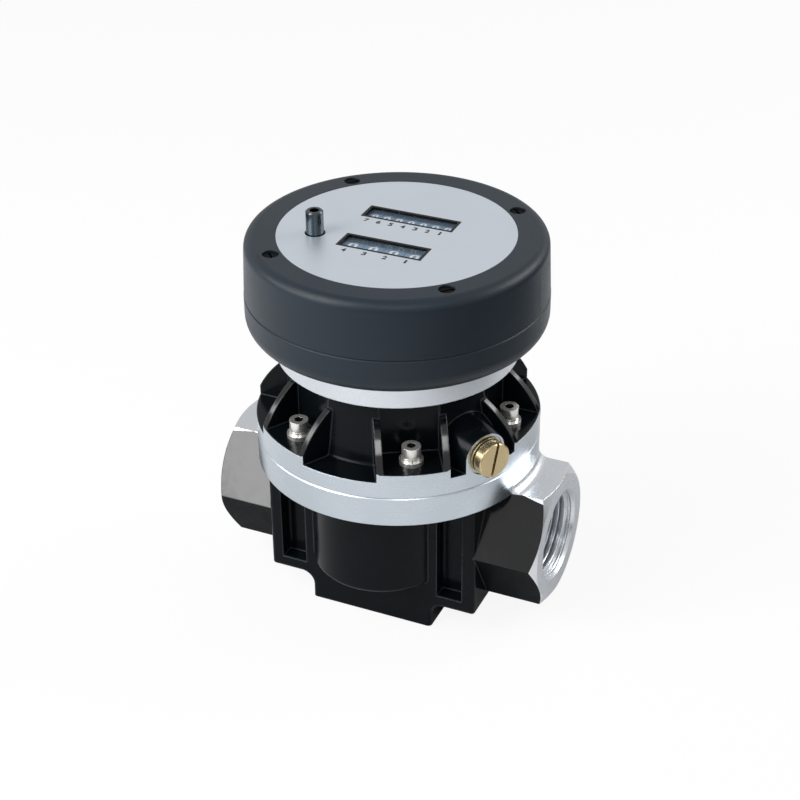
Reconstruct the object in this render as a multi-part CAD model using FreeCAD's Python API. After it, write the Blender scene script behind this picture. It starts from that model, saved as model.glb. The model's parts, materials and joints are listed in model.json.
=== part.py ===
"""Oval gear flow meter with a mechanical register, in millimetres.

The origin is the middle of the foot's bottom face. +X runs along the ports, +Z is up,
and the two oval gears stand side by side along Y. Heights named "above the seam" count
from the joint between the meter body and its cover.
"""
import FreeCAD, Part
import bisect
import math
import os

V = FreeCAD.Vector
AXIS_X = V(1, 0, 0)
AXIS_Y = V(0, 1, 0)
AXIS_Z = V(0, 0, 1)
ORIGIN = V(0, 0, 0)

# Main heights
FOOT_TO_PORT = 37.0
PORT_TO_SEAM = 35.0
FOOT_HEIGHT = 10.5

# Meter body casting
FLANGE_D = 108.0
BODY_FLANGE_T = 11.4
FLANGE_BEVEL = 0.4
BLOCK_LENGTH = 86.0
BLOCK_WIDTH = 55.6
BLOCK_CORNER = 1.6
FOOT_LENGTH = 50.4
FOOT_FILLET = 5.0
PAD_CORNER = 1.2
LOBE_WALL = 7.5
LOBE_EDGE = 2.0
CHAMBER_FLOOR_T = 8.0
POCKET_CENTRE_X = 32.8
POCKET_WIDTH = 10.2
POCKET_DEPTH = 6.0
POCKET_SILL = 5.2
POCKET_CORNER = 1.2

# Threaded ports
PORT_ACROSS_FLATS = 48.0
PORT_SPAN = 133.0
PORT_CHAMFER_DEG = 30.0
PORT_FLANGE_FILLET = 4.0
PORT_ROOT = 3.0
THREAD_MAJOR_D = 33.25
THREAD_DEPTH = 19.0
THREAD_LEAD_IN = 1.2
PASSAGE_D = 17.0

# Oval gears
CENTRE_HALF = 15.5
OVALITY = 0.25
TEETH = 30
ADDENDUM = 1.1
DEDENDUM = 1.3
CREST_GAP = 0.2
CREST_SHARE = 0.26
FLANK_SHARE = 0.50
ROOT_SHARE = 0.64
ROTOR_HEIGHT = 43.4
ROTOR_END_GAP = 0.2
ROTOR_TIP_GAP = 0.3
ROTOR_SHAFT_D = 7.0
ROTOR_BUSH_WALL = 1.8
SHAFT_GAP = 0.03
SHAFT_SEAT = 6.0
SHAFT_END_GAP = 0.5
MAGNET_D = 5.0
MAGNET_L = 6.0
MAGNET_ARM = 8.0

# Cover casting
COVER_HEIGHT = 43.4
COVER_FLANGE_T = 10.0
BAY_RECESS = 3.2
RIB_OFFSET = 10.8
RIB_T = 2.5
RIB_TOP = 25.5
RIB_BULGE = 1.2
HUB_BASE_R = 43.0
HUB_TOP_R = 40.0
HUB_FOOT_ROUND = 1.6
COLLAR_R = 45.5
COLLAR_T = 10.8
COLLAR_EDGE = 0.5
CAVITY_R = 33.5
PARTITION_T = 10.0
FOLLOWER_POCKET_R = 13.5
MAGNET_WALL = 4.0

# Cover seal and screws
SEAL_INSET = 1.0
SEAL_W = 2.6
SEAL_T = 2.0
SCREW_COUNT = 6
SCREW_CIRCLE_D = 90.0
SCREW_D = 4.0
SCREW_HOLE_GAP = 0.25
SCREW_HEAD_D = 7.0
SCREW_HEAD_T = 4.0
SCREW_SOCKET_AF = 3.0
SCREW_SOCKET_DEPTH = 2.0
SCREW_BITE = 9.0
PLAIN_WASHER_D = 9.0
PLAIN_WASHER_T = 1.8
SCREW_BAY_GAP = 2.5
SPRING_WASHER_D = 7.2
SPRING_WASHER_T = 1.3
SPRING_WASHER_SPLIT = 0.6

# Vent plug and its boss
PLUG_AZIMUTH = -30.0
PLUG_RISE = 12.0
PLUG_HEAD_D = 13.5
PLUG_HEAD_T = 3.7
PLUG_SLOT_W = 1.2
PLUG_SLOT_DEPTH = 2.2
PLUG_SLOT_TILT = -13.0
PLUG_SHANK_D = 9.7
PLUG_SHANK_L = 10.0
PLUG_WASHER_T = 1.4
PLUG_WASHER_D = 14.2
PLUG_SEAL_T = 0.6
PLUG_SEAL_D = 12.4
BOSS_D = 17.0
BOSS_DRAFT = 13.0
SPOT_FACE_D = 15.4
SPOT_FACE_DEPTH = 0.8

# Register housing
BASE_R = 56.3
BASE_ROUND = 7.1
BASE_HEIGHT = 14.7
BASE_FLOOR_T = 3.0
BASE_INNER_CHAMFER = 3.3
BEZEL_STEP = 0.1
BEZEL_DRAFT = 0.7
BEZEL_HEIGHT = 21.8
BEZEL_SHOULDER = 3.9
HOUSING_WALL = 3.0
BEZEL_TOP_T = 4.5
SEAM_CHAMFER = 0.4
PLATE_SCREW_WEB = 0.95
PLATE_GAP = 0.1
PLATE_T = 1.0
PLATE_SINK = 0.1
PLATE_LEDGE = 2.5
POST_R = 4.3
POST_INSET = 1.3
POST_AZIMUTH = 45.0
POST_COUNT = 4
BEZEL_SCREW_D = 3.0
BEZEL_SCREW_HEAD_D = 5.5
BEZEL_SCREW_HEAD_T = 2.4
BEZEL_SCREW_RECESS = 3.0
BEZEL_SCREW_RECESS_D = 6.1
BEZEL_SCREW_BITE = 8.0
BEZEL_SCREW_SLOT = 0.9
BASE_SCREW_D = 4.0
BASE_SCREW_HEAD_D = 7.0
BASE_SCREW_HEAD_T = 2.6
BASE_SCREW_BITE = 6.0

# Counters under the dial
TOTAL_WHEELS = 7
TOTAL_PITCH = 4.85
TOTAL_X = 0.25
TOTAL_Y = 12.25
TOTAL_WINDOW_L = 36.3
TOTAL_WINDOW_W = 9.7
RESET_WHEELS = 4
RESET_PITCH = 8.0
RESET_X = 0.45
RESET_Y = -12.6
RESET_WINDOW_L = 33.1
RESET_WINDOW_W = 10.4
WINDOW_FRAME_W = 1.1
WINDOW_FRAME_GAP = 0.05
LENS_T = 0.5
LENS_LAP = 1.5
WHEEL_R = 9.0
WHEEL_GAP = 0.3
WHEEL_DROP = 0.3
WHEEL_RIM = 1.4
WHEEL_HUB_WALL = 1.6
WHEEL_SIDE_RECESS = 1.0
SPINDLE_D = 3.0
RUNNING_GAP = 0.05

# Counter frame, bent from sheet
FRAME_T = 1.2
FRAME_BEND = 2.0
FRAME_LEFT_GAP = 2.075
FRAME_RIGHT_GAP = 1.375
FRAME_FRONT_Y = -22.0
FRAME_BACK_Y = 18.0
FRAME_CLEAR = 3.5
FRAME_SCREW_D = 3.0
FRAME_SCREW_HEAD_D = 5.5
FRAME_SCREW_HEAD_T = 2.0
FRAME_SCREW_X = 13.0
FRAME_SCREW_Y = 14.0

# Magnet follower and worm drive
FOLLOWER_R = 11.5
FOLLOWER_T = 5.0
FOLLOWER_GAP = 2.6
FOLLOWER_MAGNET_L = 4.0
SPINDLE_BUSH_D = 8.0
SPINDLE_BUSH_T = 2.0
DRIVE_SPINDLE_D = 3.6
SPINDLE_PIVOT_GAP = 0.3
WORM_D = 3.8
WORM_L = 9.0
WORM_CENTRE = 7.0
WORM_WHEEL_TEETH = 20
WORM_WHEEL_MODULE = 0.45
WORM_WHEEL_W = 4.0
CROSS_SHAFT_RISE = 8.1

# Spur gears that carry the drive to both counters
TRAIN_TEETH = 12
IDLER_TEETH = 16
TRAIN_W = 2.0
TRAIN_SIDE_GAP = 0.4
TRAIN_HUB_WALL = 1.2
IDLER_HEAD_WALL = 1.0
IDLER_HEAD_T = 0.8
TOOTH_TIP = 0.8
TOOTH_ROOT = 1.15
TOOTH_TIP_SHARE = 0.16
TOOTH_PITCH_SHARE = 0.38
TOOTH_ROOT_SHARE = 0.56

# Reset push rod
BUTTON_INSET = 16.7
BUTTON_Y = -11.8
BUTTON_D = 6.5
BUTTON_STAND = 8.9
BUTTON_EDGE = 0.5
BUTTON_BORE_D = 3.6
BUTTON_BORE_DEPTH = 3.0
BUTTON_HOLE_D = 7.6
BUTTON_TRAVEL = 4.0
BUTTON_COLLAR_D = 10.0
BUTTON_COLLAR_T = 1.5
BUTTON_COLLAR_GAP = 0.3
BUTTON_ENGAGE = 5.0
GUIDE_D = 10.4
SPRING_PRESSED = 6.0
SPRING_WIRE = 0.8
SPRING_TURNS = 4
SPRING_GAP = 0.3

# Heights worked out from the stack above
PORT_Z = FOOT_TO_PORT
SEAM_Z = PORT_Z + PORT_TO_SEAM
FLANGE_R = FLANGE_D / 2
BODY_FLANGE_Z = SEAM_Z - BODY_FLANGE_T
BAY_FLOOR_Z = SEAM_Z + COVER_FLANGE_T - BAY_RECESS
SCREW_SEAT_Z = SEAM_Z + COVER_FLANGE_T
COVER_TOP_Z = SEAM_Z + COVER_HEIGHT
COLLAR_Z = COVER_TOP_Z - COLLAR_T
PARTITION_Z = SEAM_Z + PARTITION_T
MAGNET_WALL_Z = SEAM_Z + MAGNET_WALL
BASE_FLOOR_Z = COVER_TOP_Z + BASE_FLOOR_T
HOUSING_SEAM_Z = COVER_TOP_Z + BASE_HEIGHT
BEZEL_TOP_Z = HOUSING_SEAM_Z + BEZEL_HEIGHT
PLATE_TOP_Z = BEZEL_TOP_Z - PLATE_SINK
PLATE_Z = PLATE_TOP_Z - PLATE_T
LENS_Z = PLATE_Z - LENS_T
WHEEL_Z = LENS_Z - WHEEL_DROP - WHEEL_R
FRAME_FLOOR_Z = BASE_FLOOR_Z + FRAME_T

# Radii of the register housing, from its outside inwards
BEZEL_R = BASE_R - BEZEL_STEP
BASE_WALL_R = BASE_R - HOUSING_WALL
BASE_FLOOR_R = BASE_WALL_R - BASE_INNER_CHAMFER
POST_CIRCLE_R = BASE_WALL_R - POST_INSET - POST_R
PLATE_R = POST_CIRCLE_R - BEZEL_SCREW_RECESS_D / 2 - PLATE_SCREW_WEB
BASE_SCREW_CIRCLE_R = (COLLAR_R + CAVITY_R) / 2
BUTTON_X = BUTTON_INSET - PLATE_R

# Places along the radius in the cover, of the screw bays and of the vent plug
SCREW_BAY_X = SCREW_CIRCLE_D / 2 - PLAIN_WASHER_D / 2 - SCREW_BAY_GAP
PLUG_SEAT_X = FLANGE_R - SPOT_FACE_DEPTH
PLUG_SEAL_X = PLUG_SEAT_X + PLUG_WASHER_T
PLUG_HEAD_X = PLUG_SEAL_X + PLUG_SEAL_T

# Oval gear sizes worked out from the pitch oval
CREST_OFFSET = -CREST_GAP / 2
ROOT_OFFSET = CREST_OFFSET - ADDENDUM - DEDENDUM
ROTOR_TIP_R = CENTRE_HALF * (1 + OVALITY) + CREST_OFFSET
CHAMBER_R = ROTOR_TIP_R + ROTOR_TIP_GAP
CHAMBER_DEPTH = ROTOR_HEIGHT + 2 * ROTOR_END_GAP
CHAMBER_Z = SEAM_Z - CHAMBER_DEPTH
ROTOR_Z = CHAMBER_Z + ROTOR_END_GAP
ROTOR_TOP_Z = ROTOR_Z + ROTOR_HEIGHT
LOBE_R = CHAMBER_R + LOBE_WALL
SEAL_R = CENTRE_HALF + CHAMBER_R + SEAL_INSET
BUSH_BORE_R = ROTOR_SHAFT_D / 2 + SHAFT_GAP
BUSH_R = BUSH_BORE_R + ROTOR_BUSH_WALL

# Axes of the register drive, as (y, z) places
DRIVE_Y = -CENTRE_HALF
CROSS_Y = DRIVE_Y + WORM_CENTRE
CROSS_Z = BASE_FLOOR_Z + CROSS_SHAFT_RISE

# Ends of the counters, of the gear train and of the frame along X
TOTAL_REACH = TOTAL_PITCH * TOTAL_WHEELS / 2
RESET_REACH = RESET_PITCH * RESET_WHEELS / 2
TRAIN_X = max(TOTAL_X + TOTAL_REACH, RESET_X + RESET_REACH) + TRAIN_SIDE_GAP
FRAME_LEFT_X = min(TOTAL_X - TOTAL_REACH, RESET_X - RESET_REACH) - FRAME_LEFT_GAP
FRAME_RIGHT_X = TRAIN_X + TRAIN_W + FRAME_RIGHT_GAP


def export(shape, node):
    """Writes one named piece to its own file."""
    shape.exportStep("parts/" + node + ".step")


def cylinder(radius, low, high, x=0.0, y=0.0):
    """Upright cylinder between two heights."""
    return Part.makeCylinder(radius, high - low, V(x, y, low), AXIS_Z)


def tube(outer, inner, low, high, x=0.0, y=0.0):
    """Upright tube between two heights."""
    return cylinder(outer, low, high, x, y).cut(cylinder(inner, low, high, x, y))


def rod_x(radius, start, end, y, z):
    """Cylinder along X between two places."""
    return Part.makeCylinder(radius, end - start, V(start, y, z), AXIS_X)


def block(x0, x1, y0, y1, z0, z1):
    """Box between two corners."""
    return Part.makeBox(x1 - x0, y1 - y0, z1 - z0, V(x0, y0, z0))


def polygon_face(points):
    """Flat face inside straight edges."""
    return Part.Face(Part.makePolygon(points + [points[0]]))


def revolve(edges):
    """Solid turned round the Z axis from a closed outline in the XZ plane."""
    return Part.Face(Part.Wire(edges)).revolve(ORIGIN, AXIS_Z, 360)


def line(a, b):
    """Straight edge between two points."""
    return Part.makeLine(a, b)


def arc(a, middle, b):
    """Round edge through three points."""
    return Part.Arc(a, middle, b).toShape()


def turned(shape, degrees):
    """Copy turned round the Z axis."""
    return shape.copy().rotate(ORIGIN, AXIS_Z, degrees)


def ring_of(shape, count, first=0.0):
    """Equally spaced copies round the Z axis."""
    copies = []
    for index in range(count):
        copy = shape.copy()
        copy.rotate(ORIGIN, AXIS_Z, first + 360.0 * index / count)
        copies.append(copy)
    return copies


def hexagon(across_flats, low, high, x, y):
    """Upright hexagonal prism."""
    corner = across_flats / math.sqrt(3)
    points = []
    for index in range(6):
        angle = math.radians(60 * index)
        points.append(V(x + corner * math.cos(angle), y + corner * math.sin(angle), low))
    return polygon_face(points).extrude(V(0, 0, high - low))


def pitch_radius(angle):
    """Radius of the pitch oval, which rolls on its twin at a fixed centre distance."""
    return CENTRE_HALF * (1 - OVALITY ** 2) / (1 - OVALITY * math.cos(2 * angle))


def pitch_point(angle):
    """Point of the pitch oval in its own plane."""
    radius = pitch_radius(angle)
    return radius * math.cos(angle), radius * math.sin(angle)


def pitch_lengths(steps=1440):
    """Angles round the pitch oval with the length of outline up to each."""
    angles = [2 * math.pi * index / steps for index in range(steps + 1)]
    lengths = [0.0]
    for before, after in zip(angles, angles[1:]):
        x0, y0 = pitch_point(before)
        x1, y1 = pitch_point(after)
        lengths.append(lengths[-1] + math.hypot(x1 - x0, y1 - y0))
    return angles, lengths


PITCH_ANGLES, PITCH_LENGTHS = pitch_lengths()


def tooth_point(share, offset):
    """Point at a share of the way round the pitch oval, moved along the outward normal."""
    length = (share % 1.0) * PITCH_LENGTHS[-1]
    index = min(bisect.bisect_right(PITCH_LENGTHS, length), len(PITCH_LENGTHS) - 1)
    span = PITCH_LENGTHS[index] - PITCH_LENGTHS[index - 1]
    part = (length - PITCH_LENGTHS[index - 1]) / span
    angle = PITCH_ANGLES[index - 1] + part * (PITCH_ANGLES[index] - PITCH_ANGLES[index - 1])
    radius = pitch_radius(angle)
    slope = -radius * 2 * OVALITY * math.sin(2 * angle) / (1 - OVALITY * math.cos(2 * angle))
    normal = angle - math.atan2(slope, radius)
    x, y = pitch_point(angle)
    return V(x + offset * math.cos(normal), y + offset * math.sin(normal), 0)


def oval_gear_outline():
    """Outline of the oval gear: teeth at equal lengths of outline, one on the long axis."""
    middle_offset = (CREST_OFFSET + ROOT_OFFSET) / 2
    edges = []
    first = None
    last = None
    for tooth in range(TEETH):
        root_0 = tooth_point((tooth - ROOT_SHARE / 2) / TEETH, ROOT_OFFSET)
        flank_0 = tooth_point((tooth - FLANK_SHARE / 2) / TEETH, middle_offset)
        crest_0 = tooth_point((tooth - CREST_SHARE / 2) / TEETH, CREST_OFFSET)
        crest_1 = tooth_point((tooth + CREST_SHARE / 2) / TEETH, CREST_OFFSET)
        flank_1 = tooth_point((tooth + FLANK_SHARE / 2) / TEETH, middle_offset)
        root_1 = tooth_point((tooth + ROOT_SHARE / 2) / TEETH, ROOT_OFFSET)
        if last is None:
            first = root_0
        else:
            edges.append(line(last, root_0))
        edges.append(arc(root_0, flank_0, crest_0))
        edges.append(line(crest_0, crest_1))
        edges.append(arc(crest_1, flank_1, root_1))
        last = root_1
    edges.append(line(last, first))
    return Part.Wire(edges)


def oval_gear(y, long_axis_deg):
    """Oval gear with its bush bore, standing in the chamber at one shaft."""
    solid = Part.Face(oval_gear_outline()).extrude(V(0, 0, ROTOR_HEIGHT))
    solid.rotate(ORIGIN, AXIS_Z, long_axis_deg)
    solid.translate(V(0, y, ROTOR_Z))
    return solid.cut(cylinder(BUSH_R, ROTOR_Z, ROTOR_TOP_Z, 0, y))


def magnets(y, direction_deg, low, high):
    """Pair of round magnets on opposite sides of an upright axis."""
    direction = math.radians(direction_deg)
    dx = MAGNET_ARM * math.cos(direction)
    dy = MAGNET_ARM * math.sin(direction)
    front = cylinder(MAGNET_D / 2, low, high, dx, y + dy)
    back = cylinder(MAGNET_D / 2, low, high, -dx, y - dy)
    return Part.makeCompound([front, back])


def chamber():
    """Hollow that the two oval gears sweep, with the passages from both ports."""
    front = cylinder(CHAMBER_R, CHAMBER_Z, SEAM_Z, 0, -CENTRE_HALF)
    back = cylinder(CHAMBER_R, CHAMBER_Z, SEAM_Z, 0, CENTRE_HALF)
    passage = rod_x(PASSAGE_D / 2, -PORT_SPAN / 2, PORT_SPAN / 2, 0, PORT_Z)
    return front.fuse(back).fuse(passage)


def bevelled(disc, height):
    """Upright disc with the outer edge at one height cut back."""
    rim = []
    for edge in disc.Edges:
        box = edge.BoundBox
        if box.ZLength < 1e-6 and abs(box.ZMin - height) < 1e-6:
            rim.append(edge)
    return disc.makeChamfer(FLANGE_BEVEL, rim)


def body_block():
    """Pads and foot as one outline along X, with a hollow round between pad and foot."""
    pad = BLOCK_LENGTH / 2
    foot = FOOT_LENGTH / 2
    y = -BLOCK_WIDTH / 2
    hollow = FOOT_FILLET * (1 - math.sqrt(0.5))
    bulge = PAD_CORNER * (1 - math.sqrt(0.5))
    edges = []
    for side in (1, -1):
        top = V(side * pad, y, BODY_FLANGE_Z)
        corner_high = V(side * pad, y, FOOT_HEIGHT + PAD_CORNER)
        corner = V(side * (pad - bulge), y, FOOT_HEIGHT + bulge)
        corner_low = V(side * (pad - PAD_CORNER), y, FOOT_HEIGHT)
        hollow_high = V(side * (foot + FOOT_FILLET), y, FOOT_HEIGHT)
        hollow_middle = V(side * (foot + hollow), y, FOOT_HEIGHT - hollow)
        hollow_low = V(side * foot, y, FOOT_HEIGHT - FOOT_FILLET)
        bottom = V(side * foot, y, 0)
        edges.append(line(top, corner_high))
        edges.append(arc(corner_high, corner, corner_low))
        edges.append(line(corner_low, hollow_high))
        edges.append(arc(hollow_high, hollow_middle, hollow_low))
        edges.append(line(hollow_low, bottom))
    edges.append(line(V(-foot, y, 0), V(foot, y, 0)))
    edges.append(line(V(-pad, y, BODY_FLANGE_Z), V(pad, y, BODY_FLANGE_Z)))
    outline = Part.Wire(Part.__sortEdges__(edges))
    solid = Part.Face(outline).extrude(V(0, BLOCK_WIDTH, 0))
    corners = []
    for edge in solid.Edges:
        box = edge.BoundBox
        if box.XLength + box.YLength < 1e-6 and abs(abs(box.XMin) - pad) < 1e-6:
            corners.append(edge)
    return solid.makeFillet(BLOCK_CORNER, corners)


def body_pockets():
    """Rectangular hollows in the pads, open to the front and back."""
    low = FOOT_HEIGHT + POCKET_SILL
    half = POCKET_WIDTH / 2
    floor = BLOCK_WIDTH / 2 - POCKET_DEPTH
    mouth = BLOCK_WIDTH / 2 + POCKET_DEPTH
    pockets = []
    for x in (POCKET_CENTRE_X, -POCKET_CENTRE_X):
        pocket = block(x - half, x + half, floor, mouth, low, BODY_FLANGE_Z)
        upright = []
        for edge in pocket.Edges:
            box = edge.BoundBox
            if box.XLength + box.YLength < 1e-6 and abs(box.YMin - floor) < 1e-6:
                upright.append(edge)
        pocket = pocket.makeFillet(POCKET_CORNER, upright)
        pockets.append(pocket)
        pockets.append(turned(pocket, 180))
    return pockets


def port_hexagons():
    """Both hexagonal port ends with turned corners, rooted in the pads."""
    end = PORT_SPAN / 2
    corner = PORT_ACROSS_FLATS / math.sqrt(3)
    points = []
    for index in range(6):
        angle = math.radians(60 * index)
        points.append(V(-end, corner * math.cos(angle), PORT_Z + corner * math.sin(angle)))
    bar = polygon_face(points).extrude(V(PORT_SPAN, 0, 0))
    flat = PORT_ACROSS_FLATS / 2
    back = (corner - flat) * math.tan(math.radians(PORT_CHAMFER_DEG))
    a = V(0, 0, -end)
    b = V(flat, 0, -end)
    c = V(corner, 0, -end + back)
    d = V(corner, 0, end - back)
    e = V(flat, 0, end)
    f = V(0, 0, end)
    turned_bar = polygon_face([a, b, c, d, e, f]).revolve(ORIGIN, AXIS_Z, 360)
    turned_bar.rotate(ORIGIN, AXIS_Y, 90)
    turned_bar.translate(V(0, 0, PORT_Z))
    root = BLOCK_LENGTH / 2 - PORT_ROOT
    middle = block(-root, root, -corner, corner, PORT_Z - corner, PORT_Z + corner)
    return bar.common(turned_bar).cut(middle)


def port_fillets():
    """Hollow rounds between the flange's side and the top flats of both ports."""
    low = PORT_Z + PORT_ACROSS_FLATS / 2
    outer = FLANGE_R + PORT_FLANGE_FILLET
    high = low + PORT_FLANGE_FILLET
    bend = PORT_FLANGE_FILLET * math.sqrt(0.5)
    edges = [
        line(V(FLANGE_R, 0, high), V(FLANGE_R, 0, low)),
        line(V(FLANGE_R, 0, low), V(outer, 0, low)),
        arc(V(outer, 0, low), V(outer - bend, 0, high - bend), V(FLANGE_R, 0, high)),
    ]
    half = PORT_ACROSS_FLATS / 2 * math.tan(math.radians(30))
    band = block(-outer, outer, -half, half, low, high)
    return revolve(edges).common(band)


def port_bores():
    """Threaded bores of both ports, at the thread's outer diameter, with a lead-in."""
    end = PORT_SPAN / 2
    radius = THREAD_MAJOR_D / 2
    bores = []
    for side in (1, -1):
        inner = V(side * (end - THREAD_DEPTH), 0, PORT_Z)
        mouth = V(side * (end - THREAD_LEAD_IN), 0, PORT_Z)
        outward = V(side, 0, 0)
        bores.append(Part.makeCylinder(radius, THREAD_DEPTH, inner, outward))
        bores.append(Part.makeCone(radius, radius + THREAD_LEAD_IN, THREAD_LEAD_IN, mouth, outward))
    return bores


def screw_places():
    """Places of the cover screws round the flange."""
    places = []
    for index in range(SCREW_COUNT):
        angle = 2 * math.pi * index / SCREW_COUNT
        places.append((SCREW_CIRCLE_D / 2 * math.cos(angle), SCREW_CIRCLE_D / 2 * math.sin(angle)))
    return places


def meter_body():
    """Cast body: round flange, pads, foot, two lobes round the chamber and the ports."""
    solid = bevelled(cylinder(FLANGE_R, BODY_FLANGE_Z, SEAM_Z), SEAM_Z)
    solid = solid.fuse(body_block()).cut(Part.makeCompound(body_pockets()))
    lobe_z = CHAMBER_Z - CHAMBER_FLOOR_T
    for y in (-CENTRE_HALF, CENTRE_HALF):
        lobe = cylinder(LOBE_R, lobe_z, BODY_FLANGE_Z, 0, y)
        rim = [edge for edge in lobe.Edges if edge.BoundBox.ZMax < lobe_z + 1e-6]
        solid = solid.fuse(lobe.makeFillet(LOBE_EDGE, rim))
    solid = solid.fuse([port_hexagons(), port_fillets()])
    solid = solid.cut(chamber()).cut(Part.makeCompound(port_bores()))
    solid = solid.cut(tube(SEAL_R + SEAL_W, SEAL_R, SEAM_Z - SEAL_T, SEAM_Z))
    for y in (-CENTRE_HALF, CENTRE_HALF):
        solid = solid.cut(cylinder(ROTOR_SHAFT_D / 2, CHAMBER_Z - SHAFT_SEAT, CHAMBER_Z, 0, y))
    for x, y in screw_places():
        solid = solid.cut(cylinder(SCREW_D / 2, SEAM_Z - SCREW_BITE, SEAM_Z, x, y))
    return solid.removeSplitter()


def rib():
    """One rib of the cover beside the screw at azimuth zero, with a bulged sloping top."""
    foot_z = SEAM_Z
    inner = CAVITY_R + (HUB_TOP_R - CAVITY_R) / 2
    outer = math.sqrt(FLANGE_R ** 2 - (RIB_OFFSET + RIB_T / 2) ** 2)
    low = V(outer, RIB_OFFSET, SCREW_SEAT_Z)
    high = V(HUB_TOP_R, RIB_OFFSET, SEAM_Z + RIB_TOP)
    chord = high - low
    outward = V(chord.z, 0, -chord.x).normalize()
    middle = (low + high) * 0.5 + outward * RIB_BULGE
    edges = [
        arc(low, middle, high),
        line(high, V(inner, RIB_OFFSET, SEAM_Z + RIB_TOP)),
        line(V(inner, RIB_OFFSET, SEAM_Z + RIB_TOP), V(inner, RIB_OFFSET, foot_z)),
        line(V(inner, RIB_OFFSET, foot_z), V(FLANGE_R, RIB_OFFSET, foot_z)),
        line(V(FLANGE_R, RIB_OFFSET, foot_z), V(FLANGE_R, RIB_OFFSET, SCREW_SEAT_Z)),
        line(V(FLANGE_R, RIB_OFFSET, SCREW_SEAT_Z), low),
    ]
    return Part.Face(Part.Wire(edges)).extrude(V(0, RIB_T, 0))


def hub():
    """Tapered hub of the cover, with a hollow round where it meets the bay floors."""
    bend = HUB_FOOT_ROUND * (1 - math.sqrt(0.5))
    round_top = BAY_FLOOR_Z + HUB_FOOT_ROUND
    foot_r = HUB_BASE_R + HUB_FOOT_ROUND
    points = [
        V(HUB_BASE_R, 0, round_top),
        V(HUB_TOP_R, 0, COLLAR_Z),
        V(0, 0, COLLAR_Z),
        V(0, 0, BAY_FLOOR_Z),
        V(foot_r, 0, BAY_FLOOR_Z),
    ]
    edges = [line(a, b) for a, b in zip(points, points[1:])]
    edges.append(arc(points[-1], V(HUB_BASE_R + bend, 0, BAY_FLOOR_Z + bend), points[0]))
    return revolve(edges)


def plug_frame(shape):
    """Turns a shape made along +X at mid height to the vent plug's place."""
    shape.translate(V(0, 0, SEAM_Z + PLUG_RISE))
    shape.rotate(ORIGIN, AXIS_Z, PLUG_AZIMUTH)
    return shape


def vent_boss():
    """Boss for the vent plug, wider inwards, round above and straight down to the flange."""
    depth = FLANGE_R - CAVITY_R
    face = BOSS_D / 2
    root = face + depth * math.tan(math.radians(BOSS_DRAFT))
    crown = Part.makeCone(root, face, depth, V(CAVITY_R, 0, 0), AXIS_X)
    corners = [V(CAVITY_R, -root, 0), V(FLANGE_R, -face, 0), V(FLANGE_R, face, 0), V(CAVITY_R, root, 0)]
    sides = polygon_face(corners).extrude(V(0, 0, -PLUG_RISE))
    return plug_frame(crown.fuse(sides).removeSplitter())


def meter_cover():
    """Cast cover: flange with raised screw seats, ribs, hub with screw bays, collar and vent boss."""
    solid = bevelled(cylinder(FLANGE_R, SEAM_Z, BAY_FLOOR_Z), SEAM_Z)
    seat_half = RIB_OFFSET + RIB_T
    seat = block(0, FLANGE_R, -seat_half, seat_half, SEAM_Z, SCREW_SEAT_Z)
    pair = [rib(), rib().mirror(ORIGIN, AXIS_Y)]
    station = seat.fuse(pair)
    stations = ring_of(station, SCREW_COUNT)
    envelope = bevelled(cylinder(FLANGE_R, SEAM_Z, COVER_TOP_Z), SEAM_Z)
    crown = stations[0].fuse(stations[1:]).common(envelope)
    collar = cylinder(COLLAR_R, COLLAR_Z, COVER_TOP_Z)
    rims = [edge for edge in collar.Edges if edge.BoundBox.ZLength < 1e-6]
    collar = collar.makeChamfer(COLLAR_EDGE, rims)
    bay = block(SCREW_BAY_X, FLANGE_R, -RIB_OFFSET, RIB_OFFSET, SCREW_SEAT_Z, COLLAR_Z)
    core = hub().fuse(vent_boss()).common(envelope)
    core = core.cut(Part.makeCompound(ring_of(bay, SCREW_COUNT)))
    solid = solid.fuse([crown, core, collar])
    solid = solid.cut(cylinder(CAVITY_R, PARTITION_Z, COVER_TOP_Z))
    solid = solid.cut(cylinder(FOLLOWER_POCKET_R, MAGNET_WALL_Z, PARTITION_Z, 0, DRIVE_Y))
    spot = plug_frame(rod_x(SPOT_FACE_D / 2, PLUG_SEAT_X, FLANGE_R, 0, 0))
    hole = plug_frame(rod_x(PLUG_SHANK_D / 2, PLUG_HEAD_X - PLUG_SHANK_L, FLANGE_R, 0, 0))
    solid = solid.cut(spot).cut(hole)
    for x, y in screw_places():
        solid = solid.cut(cylinder(SCREW_D / 2 + SCREW_HOLE_GAP, SEAM_Z, SCREW_SEAT_Z, x, y))
    for screw_hole in ring_of(base_screw_shank(), POST_COUNT):
        solid = solid.cut(screw_hole)
    return solid.removeSplitter()


def base_screw_shank():
    """Threaded length of one screw that holds the register base on the collar."""
    return cylinder(BASE_SCREW_D / 2, COVER_TOP_Z - BASE_SCREW_BITE, BASE_FLOOR_Z, BASE_SCREW_CIRCLE_R, 0)


def base_screws():
    """Screws from the register base down into the collar."""
    top = BASE_FLOOR_Z + BASE_SCREW_HEAD_T
    head = cylinder(BASE_SCREW_HEAD_D / 2, BASE_FLOOR_Z, top, BASE_SCREW_CIRCLE_R, 0)
    screw = base_screw_shank().fuse(head).removeSplitter()
    return Part.makeCompound(ring_of(screw, POST_COUNT))


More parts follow.
